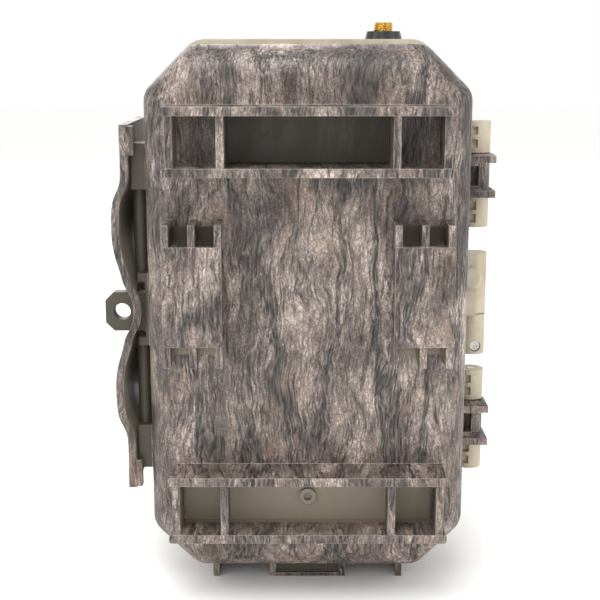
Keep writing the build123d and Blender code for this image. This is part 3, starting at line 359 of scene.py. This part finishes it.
def latch_side(material, place):
    """The blocks, the web and the eye that stand out beyond the case side."""
    return pocket(material, place, (half_width + 0.4 * mm, -3 * mm, middle_z - latch_half),
                  (half_width + 20 * mm, 12 * mm, middle_z + latch_half), 0.2 * mm)


def bridge_mouths(material, place, low, high):
    """The wall between the legs of both strap bridges, from one height to another."""
    mouths = []
    for side in (-1, 1):
        centre = side * bridge_x
        mouths.append(pocket(material, place, (centre - mouth_half, rear_wall_y - 1 * mm, low),
                             (centre + mouth_half, rear_wall_y + 9 * mm, high), 0.6 * mm))
    return mouths


def rear_bare(material, place):
    masks = [inside(material, place, rear_wall_y, 1, rear_edge_radius), latch_side(material, place)]
    masks.append(pocket(material, place, (-end_x, rear_wall_y - 1 * mm, trough_low_z - 1 * mm),
                        (end_x, rear_wall_y + 3.2 * mm, trough_high_z + 1 * mm), 0.9 * mm))
    masks.append(pocket(material, place, (-rib_x, rear_wall_y - 8 * mm, bracket_low_z),
                        (rib_x, rear_wall_y + 1.5 * mm, bracket_high_z), 0.8 * mm))
    masks += bridge_mouths(material, place, bridge_z - 20 * mm, bridge_z + 19 * mm)
    masks.append(pocket(material, place, (-foot_half, 0, foot_low), (foot_half, foot_deep, foot_high),
                        0.2 * mm))
    return union(material, *masks)


# Painted shade: the centre recess, the feet, the latch blocks and the openings above the strap bridges.
def rear_painted_shade(material, place):
    recess = pocket(material, place, (-rib_x - 1 * mm, rear_wall_y - 9 * mm, bracket_low_z - 1 * mm),
                    (rib_x + 1 * mm, rear_wall_y + 3 * mm, bracket_high_z + 1 * mm), 0.4 * mm)
    foot = pocket(material, place, (-11 * mm, 0, 0), (11 * mm, 6.4 * mm, 7 * mm), 0.2 * mm)
    mouths = bridge_mouths(material, place, bridge_z, bridge_z + 22 * mm)
    return union(material, recess, foot, latch_side(material, place), *mouths)


def front_bare(material, place):
    return inside(material, place, face_y, -1, front_edge_radius)


def lever_bare(material, place):
    apart = add(material, "SeparateXYZ", {0: place.outputs["Normal"]})
    return add(material, "MapRange", {"Value": apart.outputs["X"], "From Min": -0.45, "From Max": -0.65})


# %% Dress the dipped parts
dress(dipped_abs("hydro_dipped_abs_rear", rear_bare, rear_painted_shade), "rear_shell")
dress(dipped_abs("hydro_dipped_abs_front", front_bare), "front_cover")
dress(dipped_abs("hydro_dipped_abs_lever", lever_bare), "latch_lever")
print("dipped parts dressed")


# %% [markdown]
# ## Plain mouldings
# The chassis and the cable conduit are the same sand ABS without film. A spark-eroded mould gives them a
# fine even texture, and handling leaves faint grey in it. Black parts are the same process in black resin.

# %% Moulded plastics
def moulded(name, code, second, roughness, texture_mm=0.35, depth_mm=0.02, ior=1.53, stain=0.35):
    """Moulded resin with a spark-eroded texture and slow changes of tone."""
    material, shader, place = start(name)
    grid = add(material, "VectorMath", {0: place.outputs["Object"], "Scale": 1 / mm}, operation="SCALE")
    slow = add(material, "TexNoise", {"Vector": grid, "Scale": 0.12, "Detail": 5.0, "Roughness": 0.62})
    fine = add(material, "TexNoise", {"Vector": grid, "Scale": 1 / texture_mm, "Detail": 2.0})
    tone = add(material, "MapRange", {"Value": slow, "From Min": 0.35, "From Max": 0.75,
                                      "To Min": 0.0, "To Max": stain})
    body = add(material, "Mix", {"Factor": tone, "A": colour(code), "B": colour(second)},
               data_type="RGBA")
    rounded = add(material, "Bevel", {"Radius": 0.35 * mm}, samples=6)
    bump = add(material, "Bump", {"Strength": 0.5, "Distance": depth_mm * mm * 4, "Height": fine,
                                  "Normal": rounded})
    sheen = add(material, "MapRange", {"Value": slow, "To Min": roughness - 0.07,
                                       "To Max": roughness + 0.07})
    feed(material, shader, {"Base Color": body.outputs["Result"], "Normal": bump, "Roughness": sheen,
                            "IOR": ior})
    return material


sand_abs = moulded("moulded_abs_sand", "C4B9A2", "8F846E", 0.5, stain=0.6)
black_abs = moulded("moulded_abs_black", "1B1C1D", "2A2A2A", 0.46, ior=1.53)
black_gloss = moulded("moulded_polycarbonate_black", "101112", "1A1A1C", 0.2, depth_mm=0.004, ior=1.58)
epdm = moulded("moulded_epdm_rubber", "202122", "34332F", 0.75, texture_mm=0.6, ior=1.5)
silicone = moulded("moulded_silicone_keypad", "4A4C4C", "5C5D5A", 0.62, ior=1.43)
ptfe = moulded("turned_ptfe", "E9E7E0", "D4D1C6", 0.4, ior=1.38)
dress(sand_abs, "mid_frame", "conduit_upper", "conduit_lower")
dress(black_abs, "battery_tray", "lens_barrel", "camera_module", "mode_switch_knob", "dc_jack",
      "tact_switches")
dress(black_gloss, "lens_bezel", "antenna_collar")
dress(epdm, "case_gasket", "front_gasket", "dc_plug")
dress(silicone, "button_up", "button_down", "button_left", "button_right", "button_ok", "button_menu")


# %% [markdown]
# ## Metals
# Each metal keeps its true reflectance and the default IOR. What tells them apart is how they were worked:
# plated parts are evenly mottled, brass and steel differ in polish, and the olive keeper bars are painted.

# %% Plated, turned and painted metals
def metal(name, code, roughness, mottle=0.12, grain_mm=0.8, metallic=1.0):
    """A worked metal with uneven polish."""
    material, shader, place = start(name)
    grid = add(material, "VectorMath", {0: place.outputs["Object"], "Scale": 1 / mm}, operation="SCALE")
    patch = add(material, "TexNoise", {"Vector": grid, "Scale": 1 / grain_mm, "Detail": 4.0})
    polish = add(material, "MapRange", {"Value": patch, "To Min": max(roughness - mottle, 0.05),
                                        "To Max": roughness + mottle})
    dull = [c * 0.8 for c in colour(code)[:3]] + [1.0]
    body = add(material, "Mix", {"Factor": patch, "A": colour(code), "B": dull}, data_type="RGBA")
    rounded = add(material, "Bevel", {"Radius": 0.15 * mm}, samples=4)
    bump = add(material, "Bump", {"Strength": 0.2, "Distance": 0.05 * mm, "Height": patch,
                                  "Normal": rounded})
    feed(material, shader, {"Base Color": body.outputs["Result"], "Roughness": polish, "Normal": bump,
                            "Metallic": metallic})
    return material


zinc = metal("zinc_plated_steel", "C9C8C2", 0.34)
spring_steel = metal("nickel_plated_spring_wire", "D3D0C8", 0.25)
gold = metal("gold_plated_brass", "E8C368", 0.22, mottle=0.06)
brass = metal("turned_brass", "C9A75A", 0.3)
olive_paint = metal("olive_painted_steel", "3E3A2E", 0.48, metallic=0.0)
tinned = metal("stamped_tinned_steel", "B9BABA", 0.3)
dress(zinc, "hinge_pin_upper", "hinge_pin_lower", "latch_pins", "tray_screws", "conduit_screw")
dress(spring_steel, "battery_contacts")
dress(brass, "tripod_insert", "antenna_nut")
dress(olive_paint, "keeper_bars")
dress(tinned, "radio_module", "mode_switch_body", "sd_socket", "sim_socket", "usb_port", "pir_sensor")


# %% [markdown]
# ## Windows, lenses and boards
# The infrared window is dyed acrylic, almost black to the eye. It is drawn as a clear plastic whose tint
# is deep, and the emitters behind it are real pieces, though daylight hardly shows them.

# %% Clear and dyed plastics
def clear(name, code, roughness, ior, transmission, coat=0.0):
    """A transparent resin or glass with its tint."""
    material, shader, place = start(name)
    grid = add(material, "VectorMath", {0: place.outputs["Object"], "Scale": 1 / mm}, operation="SCALE")
    haze = add(material, "TexNoise", {"Vector": grid, "Scale": 0.3, "Detail": 4.0})
    polish = add(material, "MapRange", {"Value": haze, "To Min": roughness,
                                        "To Max": roughness + 0.05})
    feed(material, shader, {"Roughness": polish, "Base Color": colour(code), "IOR": ior,
                            "Transmission Weight": transmission, "Coat Weight": coat})
    return material


ir_acrylic = clear("dyed_acrylic_ir_window", "2A1416", 0.05, 1.49, 0.75, coat=0.5)
coated_glass = clear("coated_optical_glass", "C9D6F2", 0.02, 1.6, 0.92, coat=1.0)
epoxy = clear("cast_clear_epoxy", "DADFE2", 0.06, 1.55, 0.8)
filter_glass = clear("ir_cut_filter_glass", "BFE3DC", 0.03, 1.52, 0.85)
dress(ir_acrylic, "led_window", "light_sensor_window", "status_led")
dress(epoxy, "ir_leds")
dress(filter_glass, "ir_cut_filter")
dress(clear("cover_glass_display", "1C2024", 0.06, 1.5, 0.3, coat=0.6), "display_window")


# %% [markdown]
# ## Fresnel sensor lens
# The motion sensor looks through a thin milky polyethylene sheet moulded with a grid of small Fresnel
# lenses. Each facet is a set of rings round its own centre. The rings are cut by the height of the surface
# here, since each is only a third of a millimetre deep, and the grid's joints are drawn a little wider. The
# start of each ring is darkened as painted shade in its step.

# %% Fresnel sheet
def fresnel_sheet():
    material, shader, place = start("moulded_polyethylene_fresnel")
    facets_across, facets_up, ring_mm = 5, 3, 1.05
    wide = (pir_high.x - pir_low.x) / facets_across
    tall = (pir_high.z - pir_low.z) / facets_up
    at = add(material, "VectorMath", {0: place.outputs["Object"], 1: (pir_low.x, 0, pir_low.z)},
             operation="SUBTRACT")
    cell = add(material, "VectorMath", {0: at, 1: (1 / wide, 0, 1 / tall)}, operation="MULTIPLY")
    within = add(material, "VectorMath", {0: cell}, operation="FRACTION")
    off = add(material, "VectorMath", {0: within, 1: (0.5, 0, 0.5)}, operation="SUBTRACT")
    real = add(material, "VectorMath", {0: off, 1: (wide / mm, 0, tall / mm)}, operation="MULTIPLY")
    far = add(material, "VectorMath", {0: real}, operation="LENGTH")
    turns = add(material, "Math", {0: far.outputs["Value"], 1: 1 / ring_mm}, operation="MULTIPLY")
    saw = add(material, "Math", {0: turns}, operation="FRACT")
    folded = add(material, "VectorMath", {0: off}, operation="ABSOLUTE")
    apart = add(material, "SeparateXYZ", {0: folded})
    edge = add(material, "Math", {0: apart.outputs["X"], 1: apart.outputs["Z"]}, operation="MAXIMUM")
    joint = add(material, "MapRange", {"Value": edge, "From Min": 0.465, "From Max": 0.49})
    height = add(material, "Math", {0: saw, 1: joint}, operation="SUBTRACT")
    bump = add(material, "Bump", {"Strength": 0.7, "Distance": 0.22 * mm, "Height": height})
    tone = add(material, "Mix", {"Factor": joint, "A": colour("D9D8D0"), "B": colour("A9A89F")},
               data_type="RGBA")
    # Painted shade at the start of each ring, where its step is.
    ring_step_shade = add(material, "MapRange", {"Value": saw, "From Min": 0.0, "From Max": 0.18,
                                        "To Min": 0.28, "To Max": 0.0})
    shaded = add(material, "Mix", {"Factor": ring_step_shade, "A": tone.outputs["Result"],
                                   "B": colour("9C9B92")}, data_type="RGBA")
    feed(material, shader, {"Base Color": shaded.outputs["Result"], "Normal": bump, "Roughness": 0.35,
                            "IOR": 1.51, "Subsurface Weight": 0.25, "Subsurface Scale": 0.002})
    return material


dress(fresnel_sheet(), "pir_lens")


# %% [markdown]
# ## Circuit boards and the display
# A board is glass-filled epoxy under a green solder mask. Its traces are about a fifth of a millimetre
# wide, drawn here a little over a quarter of a millimetre wide, in blocks. The display is a dark layered
# panel with a slightly lighter active area.

# %% Boards, display and card
def solder_mask():
    material, shader, place = start("solder_masked_fr4")
    grid = add(material, "VectorMath", {0: place.outputs["Object"], "Scale": 1 / mm}, operation="SCALE")
    flat = add(material, "Mapping", {"Vector": grid, "Rotation": (math.radians(90), 0, 0)})
    blocks = add(material, "TexBrick", {"Vector": flat, "Scale": 0.22, "Mortar Size": 0.06,
                                        "Color1": colour("0E4A27"), "Color2": colour("125530"),
                                        "Mortar": colour("2C8450")})
    bump = add(material, "Bump", {"Strength": 0.4, "Distance": 0.03 * mm,
                                  "Height": blocks.outputs["Fac"]})
    feed(material, shader, {"Base Color": blocks.outputs["Color"], "Normal": bump, "Roughness": 0.32,
                            "IOR": 1.55})
    return material


def display_layers():
    material, shader, place = start("laminated_display")
    low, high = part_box("display_panel")
    active = pocket(material, place, (low.x + 5 * mm, low.y - 1, low.z + 5 * mm),
                    (high.x - 5 * mm, high.y + 1, high.z - 5 * mm), 0.3 * mm)
    tone = add(material, "Mix", {"Factor": active, "A": colour("0C0D0F"), "B": colour("1D2630")},
               data_type="RGBA")
    feed(material, shader, {"Base Color": tone.outputs["Result"], "Roughness": 0.16})
    return material


def card_shell():
    material, shader, place = start("moulded_abs_card_with_label")
    low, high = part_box("sd_card")
    label = pocket(material, place, (low.x + 2 * mm, high.y - 0.4 * mm, low.z + 9 * mm),
                   (high.x - 2 * mm, high.y + 1 * mm, high.z - 2 * mm), 0.1 * mm)
    tone = add(material, "Mix", {"Factor": label, "A": colour("17181A"), "B": colour("2F5F8A")},
               data_type="RGBA")
    feed(material, shader, {"Base Color": tone.outputs["Result"], "Roughness": 0.45})
    return material


mask_green = solder_mask()
dress(mask_green, "main_board", "led_board")
dress(display_layers(), "display_panel", "image_sensor")
dress(card_shell(), "sd_card")


# %% [markdown]
# ## Turned and coiled pieces
# A lathe profile spun about an axis makes the cells, the lens elements and the screw heads. A tube swept
# along a helix makes a spring. Both are written once as mesh builders and used for every such piece.

# %% Mesh builders
def mesh_piece(name, points, faces, material, body, slot_name, smooth=True):
    """A mesh object from points and faces, riding on a body."""
    data = bpy.data.meshes.new(name)
    data.from_pydata([tuple(p) for p in points], [], faces)
    data.validate()
    for polygon in data.polygons:
        polygon.use_smooth = smooth
    data.materials.append(material)
    piece = bpy.data.objects.new(name, data)
    bpy.context.scene.collection.objects.link(piece)
    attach(piece, body)
    return piece


def axes_of(direction):
    """Two directions across an axis."""
    along = Vector(direction).normalized()
    across = along.orthogonal().normalized()
    return along, across, along.cross(across)


def lathe(profile, centre, direction, steps=48):
    """Points and faces of a profile of (radius, height) pairs spun about an axis; ends close at radius 0."""
    along, across, third = axes_of(direction)
    points, faces = [], []
    for radius, height in profile:
        for step in range(steps):
            turn = 2 * math.pi * step / steps
            spoke = across * math.cos(turn) + third * math.sin(turn)
            points.append(Vector(centre) + along * height + spoke * max(radius, 1e-6))
    for row in range(len(profile) - 1):
        for step in range(steps):
            after = (step + 1) % steps
            faces.append((row * steps + step, row * steps + after, (row + 1) * steps + after,
                          (row + 1) * steps + step))
    faces.append(tuple(reversed(range(steps))))
    faces.append(tuple(range((len(profile) - 1) * steps, len(profile) * steps)))
    return points, faces


def tube(path, radius, sides=8):
    """Points and faces of a round wire along a path."""
    points, faces = [], []
    for index, spot in enumerate(path):
        before = path[max(index - 1, 0)]
        after = path[min(index + 1, len(path) - 1)]
        along = (after - before).normalized()
        across = along.cross(Vector((0, 0, 1))).normalized()
        third = along.cross(across)
        for side in range(sides):
            turn = 2 * math.pi * side / sides
            points.append(spot + (across * math.cos(turn) + third * math.sin(turn)) * radius)
    for row in range(len(path) - 1):
        for side in range(sides):
            after = (side + 1) % sides
            faces.append((row * sides + side, row * sides + after, (row + 1) * sides + after,
                          (row + 1) * sides + side))
    faces.append(tuple(reversed(range(sides))))
    faces.append(tuple(range((len(path) - 1) * sides, len(path) * sides)))
    return points, faces


def gather(parts):
    """Several point-and-face lists as one."""
    points, faces = [], []
    for some_points, some_faces in parts:
        shift = len(points)
        points += some_points
        faces += [tuple(i + shift for i in face) for face in some_faces]
    return points, faces


# %% [markdown]
# ## Antenna connector
# The aerial screws on to a standard connector: a quarter-inch brass shank with 36 threads to the inch,
# a white PTFE insulator in its mouth and a gold pin in the middle. The CAD keeps the shank as a plain
# cylinder at the thread's outer radius, and here the thread is cut as one continuous helix.

# %% Cut the thread
socket_low, socket_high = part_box("antenna_connector")
collar_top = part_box("antenna_collar")[1].z
socket_x = (socket_low.x + socket_high.x) / 2
socket_y = (socket_low.y + socket_high.y) / 2
thread_radius = (socket_high.x - socket_low.x) / 2
thread_pitch = 25.4 / 36 * mm
thread_depth = 0.38 * mm


def threaded_shank(low, start_z, high, bore):
    """A plain shank up to start_z and a cut thread above it, with a bored mouth."""
    around, rise = 96, 0.04 * mm
    rows = int((high - start_z) / rise)
    points, faces = [], []
    for row in range(rows + 1):
        z = start_z + (high - start_z) * row / rows
        for step in range(around):
            turn = 2 * math.pi * step / around
            phase = ((z - start_z) / thread_pitch - step / around) % 1.0
            cut = thread_depth * min(1.0, 2.4 * min(phase, 1 - phase))
            lead_in = max(0.0, 1 - (high - z) / (0.4 * mm)) * 0.3 * mm
            radius = thread_radius - max(thread_depth - cut, lead_in)
            if row == 0:
                z = low
                radius = thread_radius - thread_depth
            points.append(Vector((socket_x + radius * math.cos(turn), socket_y + radius * math.sin(turn), z)))
    for row in range(rows):
        for step in range(around):
            after = (step + 1) % around
            faces.append((row * around + step, row * around + after, (row + 1) * around + after,
                          (row + 1) * around + step))
    rims = []
    for radius, z in ((bore, high), (bore, high - 4 * mm)):
        rims.append(len(points))
        for step in range(around):
            turn = 2 * math.pi * step / around
            points.append(Vector((socket_x + radius * math.cos(turn), socket_y + radius * math.sin(turn), z)))
    loops = [rows * around, *rims]
    for outer, inner in zip(loops, loops[1:]):
        for step in range(around):
            after = (step + 1) % around
            faces.append((outer + step, outer + after, inner + after, inner + step))
    faces.append(tuple(loops[-1] + step for step in range(around)))
    faces.append(tuple(reversed(range(around))))
    return points, faces


shank = mesh_piece("connector_shank", *threaded_shank(socket_low.z, collar_top, socket_high.z, 2.3 * mm),
                   gold, "front_case", "gold")
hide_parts("antenna_connector")
insulator = lathe([(2.25 * mm, 0), (2.25 * mm, 2.6 * mm), (0.8 * mm, 2.6 * mm), (0.8 * mm, 1.8 * mm)],
                  (socket_x, socket_y, socket_high.z - 3.9 * mm), (0, 0, 1))
mesh_piece("connector_insulator", *insulator, ptfe, "front_case", "gold")
pin = lathe([(0.45 * mm, 0), (0.45 * mm, 2.6 * mm), (0.3 * mm, 3.0 * mm), (0, 3.05 * mm)],
            (socket_x, socket_y, socket_high.z - 3.9 * mm), (0, 0, 1), steps=20)
mesh_piece("connector_pin", *pin, gold, "front_case", "gold")
print("thread turns:", round((socket_high.z - collar_top) / thread_pitch, 1))


# %% [markdown]
# ## Springs, cells and screws
# Each cell sits on a conical spring, wound from 0.5 mm wire so that it can close up flat. The cells wear a
# printed sleeve with a bare steel cap at each end. The cover screws are pan heads with a cross recess, cut
# into the head by lowering the points of its top inside a cross.

# %% Coiled springs
cell_boxes = [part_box("battery_cells_lower"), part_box("battery_cells_upper")]
cells_in_row = 4
cell_radius = (cell_boxes[0][1].y - cell_boxes[0][0].y) / 2
cell_y = (cell_boxes[0][1].y + cell_boxes[0][0].y) / 2
cell_step = (cell_boxes[0][1].x - cell_boxes[0][0].x - 2 * cell_radius) / (cells_in_row - 1)
cell_xs = [cell_boxes[0][0].x + cell_radius + cell_step * index for index in range(cells_in_row)]
spring_height = 2.35 * mm
spring_turns = 3.5
spring_foot, spring_taper = 3.3 * mm, 1.1 * mm
wire = 0.25 * mm
spring_points = 97
coils = []
for low, high in cell_boxes:
    for x in cell_xs:
        path = []
        for index in range(spring_points):
            share = index / (spring_points - 1)
            turn = 2 * math.pi * spring_turns * share
            reach = spring_foot - spring_taper * share
            path.append(Vector((x + reach * math.cos(turn), cell_y + reach * math.sin(turn),
                                low.z - spring_height + wire + (spring_height - 2 * wire) * share)))
        coils.append(tube(path, wire))
springs = mesh_piece("coiled_springs", *gather(coils), spring_steel, "rear_case", "steel")
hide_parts("battery_springs")
print("springs:", len(coils))

# %% Sleeved cells
band_height = 14 * mm


def sleeve_material():
    """A shrunk PVC sleeve: dark body and one broad copper band."""
    material, shader, place = start("shrunk_pvc_sleeve_on_steel")
    feed(material, shader, {"Roughness": 0.28, "IOR": 1.53})
    height = add(material, "SeparateXYZ", {0: place.outputs["Object"]}).outputs["Z"]
    bands = []
    for low, high in cell_boxes:
        above = add(material, "Math", {0: height, 1: high.z - band_height}, operation="GREATER_THAN")
        under = add(material, "Math", {0: height, 1: high.z + 1 * mm}, operation="LESS_THAN")
        bands.append(add(material, "Math", {0: above, 1: under}, operation="MULTIPLY"))
    tone = union(material, *bands)
    body = add(material, "Mix", {"Factor": tone, "A": colour("1B2226"), "B": colour("B3683A")},
               data_type="RGBA")
    feed(material, shader, {"Base Color": body.outputs["Result"]})
    return material


sleeve = sleeve_material()
for label, (low, high) in zip(("cells_lower", "cells_upper"), cell_boxes):
    sleeves, caps = [], []
    length = high.z - low.z
    for x in cell_xs:
        foot = (x, cell_y, low.z)
        full = cell_radius
        sleeves.append(lathe([(full - 0.9 * mm, 0.25 * mm), (full - 0.3 * mm, 0.2 * mm), (full, 0.7 * mm),
                              (full, length - 2.1 * mm), (full - 0.4 * mm, length - 1.5 * mm),
                              (full - 1.5 * mm, length - 1.45 * mm)], foot, (0, 0, 1)))
        caps.append(lathe([(0, 0), (full - 1.2 * mm, 0), (full - 0.9 * mm, 0.4 * mm), (3 * mm, 0.5 * mm)],
                          foot, (0, 0, 1)))
        caps.append(lathe([(full - 1.6 * mm, length - 1.5 * mm), (3.1 * mm, length - 1.5 * mm),
                           (2.75 * mm, length - 1.2 * mm), (2.6 * mm, length - 0.15 * mm),
                           (2.3 * mm, length), (0, length)], foot, (0, 0, 1)))
    sleeved = mesh_piece(label + "_sleeves", *gather(sleeves), sleeve, "rear_case", "cell")
    mesh_piece(label + "_caps", *gather(caps), zinc, "rear_case", "steel")
    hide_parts("battery_" + label)

# %% Cross-head screws
def cross_head(centre, outwards, radius, height, steps=64):
    """A pan head with a cross recess, on a polar grid so that the recess is part of the mesh."""
    along, across, third = axes_of(outwards)
    rings = [0.02, 0.12, 0.22, 0.32, 0.42, 0.5, 0.6, 0.7, 0.8, 0.88, 0.95, 1.0]
    arm, reach, depth = 0.14 * radius, 0.58 * radius, 0.55 * height
    points, faces = [], []
    for ring in rings:
        dome = height * math.sqrt(max(0.0, 1 - (ring * 0.92) ** 2))
        for step in range(steps):
            turn = 2 * math.pi * step / steps
            u, v = ring * radius * math.cos(turn), ring * radius * math.sin(turn)
            in_arm = min(abs(u), abs(v)) < arm and max(abs(u), abs(v)) < reach
            level = dome - (depth if in_arm else 0)
            points.append(Vector(centre) + along * level + across * u + third * v)
    for step in range(steps):
        turn = 2 * math.pi * step / steps
        points.append(Vector(centre) + (across * math.cos(turn) + third * math.sin(turn)) * radius)
    for row in range(len(rings)):
        for step in range(steps):
            after = (step + 1) % steps
            faces.append((row * steps + step, (row + 1) * steps + step, (row + 1) * steps + after,
                          row * steps + after))
    faces.append(tuple(range(steps)))
    faces.append(tuple(reversed(range(len(rings) * steps, (len(rings) + 1) * steps))))
    return points, faces


screw_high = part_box("cover_screws")[1]
screw_radius = 2.3 * mm
shank_radius, shank_length = 1.25 * mm, 8.5 * mm
tip_radius, tip_length = 0.6 * mm, 9.2 * mm
head_height = 1.35 * mm
head_y = screw_high.y - 1.4 * mm
screw_spots = [(side * (half_width - 12 * mm), middle_z + end * (half_height - 16 * mm))
               for side in (-1, 1) for end in (-1, 1)]
screw_spots += [(side * (half_width - 6.5 * mm), middle_z) for side in (-1, 1)]
heads = []
for x, z in screw_spots:
    heads.append(cross_head((x, head_y, z), (0, 1, 0), screw_radius, head_height))
    shank_profile = [(shank_radius, 0), (shank_radius, shank_length), (tip_radius, tip_length)]
    heads.append(lathe(shank_profile, (x, head_y, z), (0, -1, 0), 16))
screws = mesh_piece("cross_head_screws", *gather(heads), zinc, "front_case", "steel", smooth=False)
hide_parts("cover_screws")
print("screws:", len(screw_spots))


# %% [markdown]
# ## Lens stack
# A trail camera's lens is a small fixed stack behind a flat black bezel. The front element is a shallow
# dome with an anti-reflection coating that looks magenta, and steps inside the barrel stop stray light.
# The elements are turned, and the coating is a thin clear coat with its own tint.

# %% Turn the lens elements
lens_x = 0.0
lens_z = (lens_low.z + lens_high.z) / 2
glass_low, glass_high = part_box("lens_glass")
glass_radius = (glass_high.x - glass_low.x) / 2
dome = []
for index in range(13):
    share = index / 12
    dome.append((glass_radius * 0.995 * math.cos(share * math.pi / 2),
                 0.5 * mm + 1.25 * mm * math.sin(share * math.pi / 2)))
front_element = lathe([(glass_radius * 0.995, 0)] + dome, (lens_x, glass_high.y, lens_z), (0, -1, 0), 64)
element = mesh_piece("front_element", *front_element, coated_glass, "front_case", "lens_glass")
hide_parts("lens_glass")
coating = clear("magenta_coated_glass", "5A2C6B", 0.05, 1.7, 0.35, coat=1.0)
inner_profile = [(radius * mm, height * mm)
                 for radius, height in ((4.3, 0), (4.3, 0.8), (3.2, 1.5), (1.6, 1.85), (0, 1.95))]
second = lathe(inner_profile,
               (lens_x, glass_high.y + 2.4 * mm, lens_z), (0, -1, 0), 48)
mesh_piece("inner_element", *second, coating, "front_case", "lens_glass")
baffle_radii = [8.6, 7.9, 7.2, 6.4, 5.4]
baffle = [(8.95 * mm, -0.1 * mm)]
for index, radius in enumerate(baffle_radii):
    baffle.append((radius * mm, index * 0.5 * mm))
    baffle.append((radius * mm, (index + 1) * 0.5 * mm))
baffle.append((4.4 * mm, 2.5 * mm))
rings = lathe(baffle, (lens_x, glass_high.y + 0.1 * mm, lens_z), (0, 1, 0), 64)
mesh_piece("stray_light_baffle", rings[0], rings[1][:-2], black_abs, "front_case", "black_plastic")


# %% [markdown]
# ## Keypad marks
# The keys need marks that any user can read without words: four arrows and a round key. Each arrow is a
# raised triangle on the silicone, a quarter of a millimetre proud, in a paler resin.

# %% Raised arrows
mark_resin = moulded("printed_silicone_mark", "C9C9C2", "B5B5AE", 0.55, ior=1.43)
arrow_reach = 1.7 * mm
arrow_proud, arrow_sunk = 0.25 * mm, 0.05 * mm
arrow_draft = 0.9
arrow_turns = {"button_up": 90, "button_left": 0, "button_down": 270, "button_right": 180}
for key, degrees in arrow_turns.items():
    low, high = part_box(key)
    centre = (low + high) / 2
    outline = []
    for corner in range(3):
        turn = math.radians(degrees + 120 * corner)
        outline.append(Vector((arrow_reach * math.cos(turn), arrow_reach * math.sin(turn))))
    points = []
    for share, y in ((1.0, high.y - arrow_sunk), (arrow_draft, high.y + arrow_proud)):
        points += [Vector((centre.x + p.x * share, y, centre.z + p.y * share)) for p in outline]
    faces = [(0, 2, 1), (3, 4, 5), (0, 1, 4, 3), (1, 2, 5, 4), (2, 0, 3, 5)]
    mesh_piece(key + "_mark", points, faces, mark_resin, key, "button_grey", smooth=False)


# %% [markdown]
# ## Studio
# The camera stands behind the tree side, a little above and looking down by about twelve degrees, with a
# 72 mm lens at about a third of a metre. A white room gives most of the light, as in a catalogue picture.
# A smaller lamp above brings out the ribs, two at the sides fill in, and one lights the front.

# %% Floor, lamps and camera
floor_half = 3.0
floor_data = bpy.data.meshes.new("floor")
floor_data.from_pydata([(x * floor_half, y * floor_half, 0) for x, y in ((-1, -1), (1, -1), (1, 1), (-1, 1))],
                       [], [(0, 1, 2, 3)])
floor = bpy.data.objects.new("floor", floor_data)
bpy.context.scene.collection.objects.link(floor)
floor_material, floor_shader, _ = start("pale_studio_floor")
floor_shader.inputs["Base Color"].default_value = colour("FDFDFC")
floor_shader.inputs["Roughness"].default_value = 0.8
floor_data.materials.append(floor_material)


def soft_lamp(name, at, target, width, power, tint="FFFFFF"):
    """A square area lamp at one point, turned towards another."""
    data = bpy.data.lights.new(name, "AREA")
    data.shape = "RECTANGLE"
    data.size = width
    data.size_y = width
    data.energy = power
    data.color = colour(tint)[:3]
    lamp = bpy.data.objects.new(name, data)
    lamp.location = at
    lamp.rotation_euler = (Vector(target) - Vector(at)).to_track_quat("-Z", "Y").to_euler()
    bpy.context.scene.collection.objects.link(lamp)


heart = (0, 0, middle_z)
soft_lamp("lamp_above", (0.10, 0.40, 0.70), heart, 0.35, 2.6)
soft_lamp("lamp_left", (0.7, 0.5, 0.35), heart, 0.5, 1.6)
soft_lamp("lamp_right", (-0.7, 0.4, 0.3), heart, 0.6, 0.8)
soft_lamp("lamp_front", (0.3, -0.8, 0.5), heart, 0.7, 3.0)

world = bpy.data.worlds.new("pale_room")
world.use_nodes = True
world.node_tree.nodes["Background"].inputs["Color"].default_value = colour("FFFFFF")
world.node_tree.nodes["Background"].inputs["Strength"].default_value = 1.0
bpy.context.scene.world = world
bpy.context.scene.view_settings.view_transform = "Standard"

pitch = math.radians(11.8)
aim = Vector((2.35 * mm, rear_wall_y, middle_z + 6.3 * mm))
stand_off = 353 * mm
camera_data = bpy.data.cameras.new("camera")
camera_data.lens = 72
camera_data.sensor_width = 36
camera_data.clip_start = 0.01
camera = bpy.data.objects.new("camera", camera_data)
camera.location = aim + Vector((0, math.cos(pitch), math.sin(pitch))) * stand_off
camera.rotation_euler = (math.pi / 2 - pitch, 0, math.pi)
bpy.context.scene.collection.objects.link(camera)
bpy.context.scene.camera = camera
